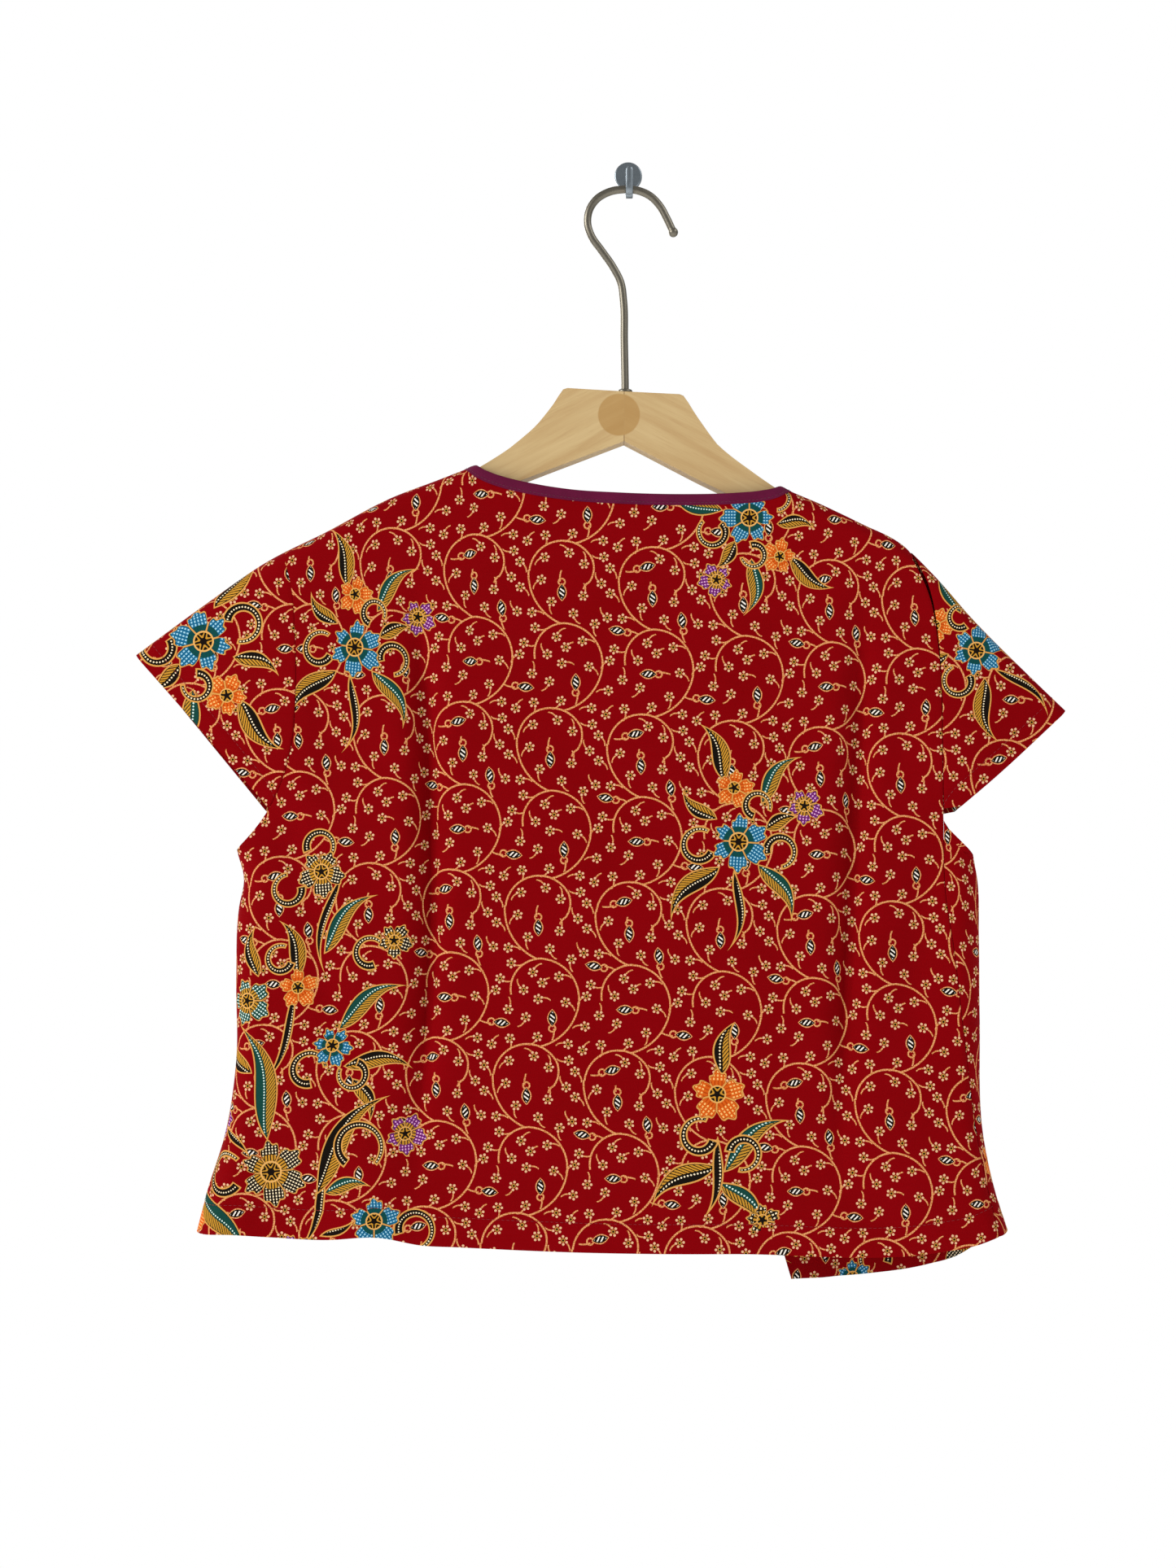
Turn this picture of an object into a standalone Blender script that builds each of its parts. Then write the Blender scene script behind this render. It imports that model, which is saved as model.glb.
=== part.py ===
"""Red batik crop top hung by its shoulders on a wooden hanger, which hangs on a small wall hook.

World frame in metres: X to the right of the garment's back as it is seen, +Y into the wall, +Z up.
The origin is the middle of the wall hook's plate, on the wall. The garment's back faces -Y.
Tables are in millimetres. A drop is a distance below the origin. Left and right are as seen.
"""
import math

import bpy
import bmesh
import numpy as np
from mathutils import Vector

MM = 0.001

# Driving sizes
MID_Y = -30.0           # the plane that the hanger and the shoulder fold lie in
SEAM_GAP = 0.3          # between pieces that are sewn together
CLOTH = 1.4             # wall of a cloth panel with its turnings
SHOULDER_ROUND = 9.0    # how far below the shoulder fold the cloth stops curving over
SIDE_ROUND = 16.0       # the same for the folds down the sides
SHOULDER_COS = 0.88     # cosine of the shoulder's slope
FOLD_START = 0.25       # share of a long fold's length over which it deepens, and dies away
FOLD_END = 0.4
FOLD_SWELL = 0.3        # low swell beside a fold, as shares of its depth and of its squared width
FOLD_SWELL_WIDTH = 11.5
CHEST_DROP = 450.0      # heights at which the cloth meshes' columns are placed
NECK_DROP = 205.0
PANEL_HEIGHT = 440.0    # usual height of a panel, and drops near its hem and its top
PANEL_HEM = 668.0
PANEL_TOP = 240.0
COLUMN_SPACE = 0.006    # least share of a panel's width between columns
BACK_STEP = 15.0        # column spacing of the back, the wide front and the narrow front
OVER_STEP = 17.0
UNDER_STEP = 13.0
OVER_FOLDS = (-113.0, 32.0)  # x of the wide front's folds, with closer columns near them
OVER_FINE = (8.0, 18.0)
BACK_SHARES = [0.0, 0.27, 0.85, 1.0]  # columns kept between the back's edges and its two valleys
UNDERARM_LEFT = 430.8   # drops at which the sides close
UNDERARM_RIGHT = 433.4
UNDERARM_FLARE = 1.3    # how fast an open armhole leaves the side fold, sideways for each mm up
TUCK = 2.6              # how far the under front lies inside the over front
TUCK_EDGE = 128.0       # x at which it starts to slip inside, and over how far it does
TUCK_SLOPE = 14.0
TUCK_TOP = 4.0          # drop below the shoulder fold at which it starts, and over how far
TUCK_FALL = 10.0
SLEEVE_FROM = 200.0     # distance from the middle at which a sleeve starts to flatten
SLEEVE_RUN = 100.0
SLEEVE_FLATTEN = 0.48
SLEEVE_END = 30.0       # drop above the underarm over which that ends
SLEEVE_POINTS = 9       # points across a sleeve
ROUND_STEPS = 4         # mesh steps round a fold's quarter circle
HEIGHT_FINE = 22.0      # row spacing of the cloth meshes
NECK_LEFT = -102.0      # x at which the bindings' seams leave the shoulder fold
NECK_RIGHT = 100.5
BAND_RISE = 0.5         # binding, how far it stands proud of the panels
BAND_THICK = 2.4

# Shoulder fold over the hanger, from the left sleeve's corner to the right one's: x, drop
RIDGE = [
    (-307.6, 307.8), (-265.9, 277.3), (-225.2, 249.4), (-189.7, 231.6), (-149.0, 210.2), (-118.5, 198.5),
    (-95.6, 189.4), (-50.0, 168.0), (0.0, 152.0), (50.0, 173.0), (94.0, 202.6), (120.4, 214.3),
    (145.8, 226.5), (168.7, 238.2), (189.1, 257.5), (211.9, 283.4), (250.1, 321.6), (271.9, 342.4),
]
# Side folds: drop, x
SIDE_LEFT = [(430.8, -244.6), (447.6, -240.5), (465.4, -243.6), (508.6, -245.1), (559.5, -245.0),
             (610.3, -253.2), (640.8, -262.9), (666.0, -269.5)]
SIDE_RIGHT = [(433.4, 214.5), (447.6, 217.0), (483.2, 218.0), (534.0, 218.5), (610.3, 221.1),
              (640.8, 227.7), (666.0, 235.8)]
# Armhole seams from the shoulder to the underarm: drop, x
ARMHOLE_LEFT = [(247.2, -213.5), (266.7, -209.0), (296.7, -206.5), (331.6, -206.0), (366.7, -209.0),
                (386.7, -214.5), (402.7, -222.0), (420.2, -234.5), (430.8, -244.6)]
ARMHOLE_RIGHT = [(249.7, 175.5), (271.6, 185.0), (301.7, 190.5), (331.6, 192.5), (366.7, 193.0),
                 (410.7, 193.5), (424.2, 200.0), (433.4, 214.5)]
# The right side seam, which hangs round on the back face: drop, x
SEAM_RIGHT = [(410.7, 193.5), (456.6, 194.5), (486.7, 199.0), (541.6, 205.5), (596.6, 213.0),
              (636.7, 220.5), (666.0, 227.5)]
BACK_EDGE_RIGHT = ARMHOLE_RIGHT[:5] + SEAM_RIGHT
# Hems: x, drop
HEM_BACK = [(-269.5, 666.0), (-255.0, 665.0), (-222.0, 666.6), (-187.0, 668.1), (-157.0, 666.3),
            (-127.0, 671.7), (-107.0, 672.6), (-37.0, 675.7), (63.0, 676.6), (188.0, 676.0),
            (213.0, 671.5), (227.5, 666.5), (235.8, 665.0)]
HEM_OVER = [(-269.5, 666.0), (-200.0, 669.0), (-100.0, 673.0), (0.0, 675.0), (120.0, 677.0)]
HEM_UNDER = [(103.2, 702.3), (148.7, 699.7), (190.0, 693.5), (210.7, 687.0), (226.0, 676.0),
             (235.8, 665.0)]
# Free edges of the two fronts: drop, x
EDGE_OVER = [(217.0, 94.0), (677.0, 120.0)]
EDGE_UNDER = [(221.5, 91.5), (686.3, 98.5), (702.3, 103.2)]
# Neck bindings: x and drop of the band's seam, x and drop of its free edge
BAND_BACK = [
    (-102.0, 191.9, -95.6, 189.4), (-97.0, 196.6, -91.0, 193.2), (-90.5, 200.4, -85.5, 195.9),
    (-79.8, 204.4, -77.0, 198.7), (-61.5, 208.7, -60.0, 202.6), (-37.7, 212.4, -37.0, 206.2),
    (-7.2, 214.5, -7.0, 208.2), (28.0, 215.5, 28.0, 209.2), (66.2, 214.6, 65.5, 208.4),
    (82.5, 213.0, 80.5, 207.1), (92.3, 210.3, 88.5, 205.4), (100.5, 205.6, 94.0, 202.6),
]
BAND_OVER = [
    (-102.0, 191.9, -95.6, 189.4), (-98.3, 199.5, -92.0, 197.0), (-92.3, 214.5, -86.0, 212.0),
    (-79.5, 236.0, -74.0, 232.0), (-59.0, 255.5, -55.0, 250.0), (-30.0, 268.3, -28.0, 262.0),
    (0.0, 271.8, 0.0, 265.5), (30.5, 267.8, 28.0, 261.5), (58.0, 254.0, 54.0, 248.5),
    (77.5, 237.0, 72.0, 233.0), (87.8, 224.8, 82.0, 221.5), (94.0, 217.0, 87.5, 214.0),
]
BAND_UNDER = [
    (91.5, 221.2, 85.2, 218.3), (96.4, 212.4, 90.0, 209.3), (99.0, 208.2, 92.6, 205.4),
    (100.5, 205.6, 94.0, 202.6),
]
BAND_UNDER_FROM = 96.4  # the under front's neck edge runs on without a band below the over front
# Places along the panels' neck edges where the cloth turns over the shoulder: x
NECK_PLACES_BACK = [-102.3, -99.5, -96.0, -91.0, 90.0, 95.0, 98.5, 100.8]
NECK_PLACES_OVER = [-102.3, -100.6, -98.3, -95.5, -92.0, -86.0, 84.0]
NECK_PLACES_UNDER = [96.4, 98.7, 100.8]
# Half depth of the hanging garment: drop, from the middle plane to the outside of the cloth
HALF_DEPTH = [(150.0, 14.0), (250.0, 14.2), (330.0, 15.0), (430.0, 17.0), (560.0, 20.0), (705.0, 23.0)]
# Long soft folds. Start and end drop, x at the start, middle and end, depth, half width.
# A negative depth stands out from the panel.
FOLDS_BACK = [
    (246.0, 660.0, -131.0, -123.5, -134.0, 8.0, 7.5),
    (250.0, 660.0, 146.0, 135.5, 127.0, 7.0, 7.0),
    (395.0, 560.0, -214.0, -194.0, -178.0, 2.6, 9.0),
    (418.0, 560.0, 186.0, 178.0, 170.0, 2.2, 8.0),
    (560.0, 720.0, -158.0, -163.0, -168.0, -3.0, 14.0),
    (590.0, 720.0, 30.0, 34.0, 38.0, -1.6, 30.0),
]
FOLDS_FRONT = [
    (262.0, 640.0, -118.0, -112.0, -120.0, 5.0, 11.0),
    (330.0, 690.0, 26.0, 34.0, 42.0, 4.0, 13.0),
    (300.0, 640.0, 158.0, 156.0, 160.0, 4.0, 10.0),
]
# Sleeve seam lines and cuffs, shoulder to tip, on the back and then on the front: x, drop
CUFF_LEFT_BACK = [(-307.6, 307.8), (-227.5, 397.8)]
CUFF_LEFT_FRONT = [(-307.6, 307.8), (-230.0, 404.5)]
CUFF_RIGHT_BACK = [(271.9, 342.4), (224.0, 385.7), (204.5, 402.0)]
CUFF_RIGHT_FRONT = [(271.9, 342.4), (226.0, 389.0), (206.0, 406.0)]
SLEEVE_TIP_BACK = 403.5
SLEEVE_TIP_FRONT = 408.5

# Hanger: x, drop of the top edge, drop of the lower edge. It hangs a little lower on the right.
HANGER = [
    (-186.0, 235.5, 247.0), (-178.0, 229.6, 247.5), (-149.0, 214.3, 234.5), (-118.5, 202.6, 221.5),
    (-95.6, 193.2, 211.8), (-75.0, 180.4, 203.2), (-57.3, 165.3, 196.2), (-47.2, 152.6, 192.3),
    (-41.1, 143.4, 190.0), (-38.5, 142.6, 189.0), (-3.3, 144.7, 175.6), (31.0, 146.4, 193.5),
    (33.5, 147.4, 194.8), (41.2, 159.2, 198.8), (53.9, 176.9, 205.0), (79.2, 196.8, 217.8),
    (94.0, 206.8, 225.0), (120.4, 218.6, 237.4), (145.8, 230.7, 249.0), (166.0, 241.3, 258.0),
    (174.0, 247.6, 257.0),
]
HANGER_THICK = 16.0
HANGER_BEVEL = 3.6
HANGER_STEP = 13.0      # spacing of the outline's points
HANGER_APEX = -3.3      # x of the notch under the block, and the gap left round it
APEX_GAP = 3.0
# Wire of the hanger's hook, from its stem to its open end: x, drop
WIRE = [
    (-2.6, 138.0), (-3.1, 112.1), (-3.6, 86.7), (-5.2, 75.5), (-10.2, 65.4), (-17.3, 55.2),
    (-23.4, 46.5), (-26.0, 38.5), (-25.0, 30.2), (-20.2, 23.0), (-12.6, 18.6), (-3.8, 17.0),
    (5.0, 17.6), (12.9, 21.0), (19.0, 27.2), (23.4, 35.0), (26.7, 42.0),
]
WIRE_RADIUS = 2.4
WIRE_TIP_RADIUS = 3.0
WIRE_RINGS = 44
WIRE_SIDES = 12
COLLAR_RADIUS = 4.6
COLLAR_HEIGHT = 2.4
COLLAR_GAP = 0.55       # between the collar and the wood
# Wall hook: round plate and a strip bent up round the wire: y, drop along the strip
PLATE_RADIUS = 8.8
PLATE_THICK = 3.0
PLATE_EDGE = 1.0
PLATE_SIDES = 32
STRIP = [(-1.5, 4.0), (-13.0, 12.6), (-23.0, 19.4), (-27.4, 21.3), (-31.6, 21.2), (-34.4, 19.0),
         (-35.6, 15.0), (-36.2, 6.4)]
STRIP_TIP = (-36.3, 3.4)
STRIP_WIDTH = 4.5
STRIP_THICK = 1.2
STRIP_RINGS = 22
STRIP_POINT = 0.4       # half width of the strip at its tip


def smooth_step(value):
    """Ease from 0 to 1 while the value goes from 0 to 1."""
    value = np.clip(value, 0.0, 1.0)
    return value * value * (3.0 - 2.0 * value)


def curve(rows, position, column=1):
    """Read a smooth curve through the table's rows; past its ends the value stays as it is."""
    known = np.array([row[0] for row in rows], dtype=float)
    value = np.array([row[column] for row in rows], dtype=float)
    slope = np.gradient(value, known) if len(rows) > 2 else np.full(2, np.diff(value) / np.diff(known))
    position = np.clip(np.asarray(position, dtype=float), known[0], known[-1])
    cell = np.clip(np.searchsorted(known, position, side="right") - 1, 0, len(rows) - 2)
    span = known[cell + 1] - known[cell]
    part = (position - known[cell]) / span
    return ((2 * part ** 3 - 3 * part ** 2 + 1) * value[cell]
            + (part ** 3 - 2 * part ** 2 + part) * span * slope[cell]
            + (3 * part ** 2 - 2 * part ** 3) * value[cell + 1]
            + (part ** 3 - part ** 2) * span * slope[cell + 1])


def along(rows, steps):
    """Points at the given fractions of a curve through the rows, all columns."""
    rows = np.array(rows, dtype=float)
    length = np.concatenate([[0.0], np.cumsum(np.linalg.norm(np.diff(rows[:, :2], axis=0), axis=1))])
    table = np.column_stack([length / length[-1], rows])
    return np.column_stack([curve(table, steps, column) for column in range(1, table.shape[1])])


def side_x(rows, underarm, outward, drop):
    """The side fold's x; above the underarm it runs outwards, so that the armhole opens."""
    above = np.maximum(underarm - drop, 0.0)
    return curve(rows, drop) + outward * UNDERARM_FLARE * above


def roundness(x, drop):
    """Squared share of the full half depth: 0 on the shoulder and side folds, 1 on the flat."""
    below = (drop - curve(RIDGE, x)) * SHOULDER_COS
    from_left = x - side_x(SIDE_LEFT, UNDERARM_LEFT, -1.0, drop)
    from_right = side_x(SIDE_RIGHT, UNDERARM_RIGHT, 1.0, drop) - x
    share = 1.0
    for distance, reach in ((below, SHOULDER_ROUND), (from_left, SIDE_ROUND), (from_right, SIDE_ROUND)):
        share = share * (1.0 - np.maximum(1.0 - distance / reach, 0.0) ** 2)
    return share


def half_depth(x, drop):
    """Half depth of the garment, less along the sleeves."""
    outside = (np.abs(x) - SLEEVE_FROM) / SLEEVE_RUN
    flatten = smooth_step(outside) * smooth_step((UNDERARM_LEFT - drop) / SLEEVE_END)
    return curve(HALF_DEPTH, drop) * (1.0 - SLEEVE_FLATTEN * flatten)


def fold_depth(folds, x, drop):
    """How far the long folds push the cloth in, with a low swell on both sides of each."""
    total = np.zeros(np.broadcast(x, drop).shape)
    for start, end, x_start, x_middle, x_end, depth, width in folds:
        part = (drop - start) / (end - start)
        centre = curve([(0.0, x_start), (0.5, x_middle), (1.0, x_end)], part)
        share = (x - centre) / width
        shape = np.exp(-share ** 2 / 2.0) - FOLD_SWELL * np.exp(-share ** 2 / FOLD_SWELL_WIDTH)
        total += depth * shape * smooth_step(part / FOLD_START) * smooth_step((1.0 - part) / FOLD_END)
    return total


def tuck_depth(x, drop):
    """How far the under front is drawn in where the over front covers it."""
    below = (drop - curve(RIDGE, x) - TUCK_TOP) / TUCK_FALL
    return TUCK * smooth_step((TUCK_EDGE - x) / TUCK_SLOPE + 0.5) * smooth_step(below)


def inset(face, under, x, drop):
    """Distance that folds and the tuck take off the half depth, on the back (-1) or front (1)."""
    if face < 0:
        return fold_depth(FOLDS_BACK, x, drop)
    moved = fold_depth(FOLDS_FRONT, x, drop)
    return moved + tuck_depth(x, drop) if under else moved


def level(face, under, x, y, drop):
    """Zero on the garment's outer surface, rising outwards."""
    share = (face * (y - MID_Y) + inset(face, under, x, drop)) / half_depth(x, drop)
    return share * share - roundness(x, drop)


def lift(face, x, drop, under=False):
    """Put flat points (x, drop) on the garment's surface: points and outward normals."""
    x = np.asarray(x, dtype=float)
    drop = np.asarray(drop, dtype=float)
    share = np.sqrt(np.clip(roundness(x, drop), 0.0, 1.0))
    y = MID_Y + face * (half_depth(x, drop) * share - inset(face, under, x, drop))
    step = 0.05
    slope = [
        level(face, under, x + step, y, drop) - level(face, under, x - step, y, drop),
        level(face, under, x, y + step, drop) - level(face, under, x, y - step, drop),
        level(face, under, x, y, drop - step) - level(face, under, x, y, drop + step),
    ]
    normal = np.stack(slope, axis=-1)
    normal /= np.linalg.norm(normal, axis=-1, keepdims=True)
    return np.stack([x, y, -drop], axis=-1), normal


def keep_to_face(points, face):
    """Hold a panel on its own side of the middle plane, half a seam gap away."""
    limit = MID_Y + face * SEAM_GAP / 2.0
    points[..., 1] = np.maximum(points[..., 1], limit) if face > 0 else np.minimum(points[..., 1], limit)
    return points


def material(name, colour, roughness, metallic=0.0):
    made = bpy.data.materials.new(name)
    made.use_nodes = True
    shader = made.node_tree.nodes["Principled BSDF"]
    shader.inputs["Base Color"].default_value = (*colour, 1.0)
    shader.inputs["Roughness"].default_value = roughness
    shader.inputs["Metallic"].default_value = metallic
    return made


def add_object(name, vertices, faces, look):
    """One named mesh object from points in millimetres."""
    mesh = bpy.data.meshes.new(name)
    mesh.from_pydata([tuple(float(value) * MM for value in vertex) for vertex in vertices], [], faces)
    mesh.validate()
    shape = bmesh.new()
    shape.from_mesh(mesh)
    bmesh.ops.recalc_face_normals(shape, faces=shape.faces)
    shape.to_mesh(mesh)
    shape.free()
    mesh.materials.append(look)
    mesh.shade_smooth()
    mesh.set_sharp_from_angle(angle=math.radians(50))
    placed = bpy.data.objects.new(name, mesh)
    bpy.context.scene.collection.objects.link(placed)
    return placed


def grid_quads(rows, columns, present=None):
    """Quads of a grid of points numbered row by row, leaving out those with a missing corner."""
    quads = []
    for row in range(rows - 1):
        for column in range(columns - 1):
            corners = [row * columns + column, row * columns + column + 1,
                       (row + 1) * columns + column + 1, (row + 1) * columns + column]
            if present is None or all(present[corner] for corner in corners):
                quads.append(corners)
    return quads


def cloth_wall(name, outer, inner, quads, look):
    """A closed wall from an outer and an inner layer of points and the quads of one layer."""
    used = sorted({corner for quad in quads for corner in quad})
    number = {corner: place for place, corner in enumerate(used)}
    quads = [[number[corner] for corner in quad] for quad in quads]
    outer = [outer[corner] for corner in used]
    inner = [inner[corner] for corner in used]
    count = len(used)
    edges = {}
    for quad in quads:
        for start, end in zip(quad, quad[1:] + quad[:1]):
            edges[(start, end)] = True
    faces = list(quads)
    faces += [[corner + count for corner in reversed(quad)] for quad in quads]
    faces += [[end, start, start + count, end + count] for start, end in edges if (end, start) not in edges]
    return add_object(name, outer + inner, faces, look)


def march(start, stop, step, fine_at=(), fine_step=4.5, fine_reach=15.0):
    """Positions from start to stop, closer together near the given places."""
    places = [start]
    while places[-1] < stop - 0.6 * step:
        near = any(abs(places[-1] - place) < fine_reach for place in fine_at)
        places.append(places[-1] + (fine_step if near else step))
    places[-1] = stop
    return places


def quarter(reach, count=ROUND_STEPS):
    """Distances from a fold at even angles round its quarter circle, without the flat's start."""
    return [reach * (1.0 - math.cos(math.pi / 2.0 * step / count)) for step in range(count)]


def panel_rows(height, marks):
    """Fractions of a panel's height, closer where it rounds over the shoulder, through the marks."""
    flat_top = 1.0 - SHOULDER_ROUND / SHOULDER_COS / height
    rows = list(np.linspace(0.0, flat_top, round(height / HEIGHT_FINE)))
    for mark in marks:
        nearest = min(range(1, len(rows) - 1), key=lambda place: abs(rows[place] - mark))
        rows[nearest] = mark
    return rows + [1.0 - distance / SHOULDER_COS / height for distance in quarter(SHOULDER_ROUND)][::-1]


def read_knots(knots, drop):
    """The knot lines' x at one height."""
    return [float(knot(drop)) for knot in knots]


def net_columns(knots, fractions, places, neck_places):
    """Column fractions through the given x at chest height and others along the neck."""
    columns = [float(np.interp(place, read_knots(knots, CHEST_DROP), fractions)) for place in places]
    for place in neck_places:
        new = float(np.interp(place, read_knots(knots, NECK_DROP), fractions))
        columns = [column for column in columns if abs(column - new) > COLUMN_SPACE] + [new]
    return sorted(columns)


def panel_net(knots, fractions, columns, rows, hem, top):
    """Flat points of a panel: columns keep their share between the knot lines at every height."""
    def x_at(drops):
        return np.array([np.interp(part, fractions, read_knots(knots, drop))
                         for part, drop in zip(columns, drops)])
    low = np.full(len(columns), PANEL_HEM)
    high = np.full(len(columns), PANEL_TOP)
    for _ in range(6):
        low = hem(x_at(low))
        high = top(x_at(high))
    drops = [low + (high - low) * row for row in rows]
    return np.array([x_at(drop) for drop in drops]), np.array(drops)


def line(rows, shift=0.0):
    """A seam or edge line as a function: its x by drop, moved sideways."""
    return lambda drop: curve(rows, drop) + shift


def body_edge(armhole, side, underarm):
    """The armhole line above the underarm and the side fold below it."""
    return lambda drop: np.where(drop < underarm, curve(armhole, drop), curve(side, drop))


def neck_seam(band, x):
    """Drop of a panel's neck edge, a seam gap below its band."""
    slope = (curve(band, x + 0.2) - curve(band, x - 0.2)) / 0.4
    return curve(band, x) + SEAM_GAP * np.sqrt(1.0 + slope * slope)


def top_line(band):
    """Upper edge of a panel: the shoulder fold, and the neck seam between its ends."""
    half = SEAM_GAP / 2.0
    return lambda x: np.where((x > NECK_LEFT - half) & (x < NECK_RIGHT + half),
                              neck_seam(band, x), curve(RIDGE, x))


def neck_places(net, start, stop):
    """The x of the panel's points along its neck edge, which its band shares."""
    inside = [float(x) for x in net[0][-1] if start + 0.5 < x < stop - 0.5]
    return [start] + inside + [stop]


def panel_wall(name, face, net, look):
    """Cloth wall of a panel that stays on one face."""
    points, normals = lift(face, *net)
    outer = keep_to_face(points.copy(), face).reshape(-1, 3)
    inner = keep_to_face(points - normals * CLOTH, face).reshape(-1, 3)
    return cloth_wall(name, list(outer), list(inner), grid_quads(*net[0].shape), look)


def back_net():
    """Back panel, one piece from the left side fold to the right side seam."""
    valleys = [[(fold[0], fold[2]), ((fold[0] + fold[1]) / 2.0, fold[3]), (fold[1], fold[4])]
               for fold in FOLDS_BACK[:2]]
    knots = [body_edge(ARMHOLE_LEFT, SIDE_LEFT, UNDERARM_LEFT), line(valleys[0]), line(valleys[1]),
             line(BACK_EDGE_RIGHT, -SEAM_GAP / 2.0)]
    chest = read_knots(knots, CHEST_DROP)
    places = [chest[0] + distance for distance in quarter(SIDE_ROUND)]
    places += march(chest[0] + SIDE_ROUND, chest[3], BACK_STEP, chest[1:3])
    columns = net_columns(knots, BACK_SHARES, places, NECK_PLACES_BACK)
    hem_left = HEM_BACK[0][1]
    hem_right = float(curve(HEM_BACK, SEAM_RIGHT[-1][1]))
    underarm = (hem_left - UNDERARM_LEFT) / (hem_left - ARMHOLE_LEFT[0][0])
    seam_top = (hem_right - SEAM_RIGHT[0][0]) / (hem_right - ARMHOLE_RIGHT[0][0])
    rows = panel_rows(PANEL_HEIGHT, (underarm, seam_top))
    net = panel_net(knots, BACK_SHARES, columns, rows, lambda x: curve(HEM_BACK, x), top_line(BAND_BACK))
    return net, rows.index(seam_top)


def front_over_net():
    """Wide front, from the left side fold over the middle to its free edge on the right."""
    knots = [body_edge(ARMHOLE_LEFT, SIDE_LEFT, UNDERARM_LEFT), line(EDGE_OVER)]
    chest = read_knots(knots, CHEST_DROP)
    places = [chest[0] + distance for distance in quarter(SIDE_ROUND)]
    places += march(chest[0] + SIDE_ROUND, chest[1], OVER_STEP, OVER_FOLDS, *OVER_FINE)
    columns = net_columns(knots, [0.0, 1.0], places, NECK_PLACES_OVER)
    hem = HEM_OVER[0][1]
    rows = panel_rows(PANEL_HEIGHT, ((hem - UNDERARM_LEFT) / (hem - ARMHOLE_LEFT[0][0]),))
    return panel_net(knots, [0.0, 1.0], columns, rows, lambda x: curve(HEM_OVER, x), top_line(BAND_OVER))


def front_under_net(seam_rows):
    """Narrow front from its free edge to the right side fold, with as many rows up to the underarm."""
    knots = [line(EDGE_UNDER), body_edge(ARMHOLE_RIGHT, SIDE_RIGHT, UNDERARM_RIGHT)]
    chest = read_knots(knots, CHEST_DROP)
    places = march(chest[0], chest[1] - SIDE_ROUND, UNDER_STEP)
    places += [chest[1] - distance for distance in reversed(quarter(SIDE_ROUND))]
    columns = net_columns(knots, [0.0, 1.0], places, NECK_PLACES_UNDER)
    hem = HEM_UNDER[-1][1]
    height = hem - ARMHOLE_RIGHT[0][0]
    underarm = (hem - UNDERARM_RIGHT) / height
    upper = [row for row in panel_rows(height, ()) if row > underarm + 0.02]
    rows = list(np.linspace(0.0, underarm, seam_rows + 1)) + upper
    return panel_net(knots, [0.0, 1.0], columns, rows, lambda x: curve(HEM_UNDER, x),
                     top_line(BAND_UNDER))


def make_front_under(net, back, seam_rows, look):
    """The narrow front and its wrap round the side fold to the seam on the back face."""
    x, drop = net
    front, front_normals = lift(1, x, drop, under=True)
    parts = np.array(quarter(1.0)[1:] + [1.0])
    shape = (len(x), len(parts))
    wrap_x = np.full(shape, np.nan)
    wrap_drop = np.full(shape, np.nan)
    for row in range(seam_rows + 1):
        seam_x = back[0][row, -1] + SEAM_GAP
        seam_drop = back[1][row, -1]
        wrap_x[row] = x[row, -1] + (seam_x - x[row, -1]) * parts
        wrap_drop[row] = drop[row, -1] + (seam_drop - drop[row, -1]) * parts
    wrap_drop[seam_rows] = curve([(row[1], row[0]) for row in ARMHOLE_RIGHT[5:]], wrap_x[seam_rows])
    wrap, wrap_normals = lift(-1, wrap_x, wrap_drop)
    points = np.concatenate([front, wrap], axis=1)
    normals = np.concatenate([front_normals, wrap_normals], axis=1)
    inner = points - normals * CLOTH
    points[seam_rows + 1:] = keep_to_face(points[seam_rows + 1:], 1)
    inner[seam_rows + 1:] = keep_to_face(inner[seam_rows + 1:], 1)
    present = ~np.isnan(points.reshape(-1, 3)[:, 0])
    quads = grid_quads(points.shape[0], points.shape[1], present)
    return cloth_wall("front_under", list(points.reshape(-1, 3)), list(inner.reshape(-1, 3)), quads, look)


def seam_drops(edge_drops, tip):
    """Heights of a body panel's points down its armhole, from the shoulder to the sleeve's tip."""
    drops = [float(drop) for drop in edge_drops[::-1]]
    last = min(range(len(drops)), key=lambda place: abs(drops[place] - tip))
    return np.array(drops[:last + 1])


def make_sleeve(name, armholes, cuffs, drops, outward, look):
    """Cap sleeve, one piece over the shoulder fold, running out to a point on each face."""
    shares = np.linspace(0.0, 1.0, SLEEVE_POINTS)
    layers = []
    for face, armhole, cuff, seam_drop in zip((-1, 1), armholes, cuffs, drops):
        down = (seam_drop - seam_drop[0]) / (seam_drop[-1] - seam_drop[0])
        seam_x = curve(armhole, seam_drop) + outward * SEAM_GAP
        end = along(cuff, down)
        x = seam_x[:, None] * (1.0 - shares) + end[:, :1] * shares
        drop = seam_drop[:, None] * (1.0 - shares) + end[:, 1:] * shares
        bow = curve(RIDGE, x[0]) - drop[0]
        drop = drop + bow * (1.0 - down[:, None]) ** 2
        layers.append(lift(face, x, drop))
    points = np.concatenate([layers[0][0][::-1], layers[1][0][1:]])
    normals = np.concatenate([layers[0][1][::-1], layers[1][1][1:]])
    inner = points - normals * CLOTH
    return cloth_wall(name, list(points.reshape(-1, 3)), list(inner.reshape(-1, 3)),
                      grid_quads(*points.shape[:2]), look)


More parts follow.
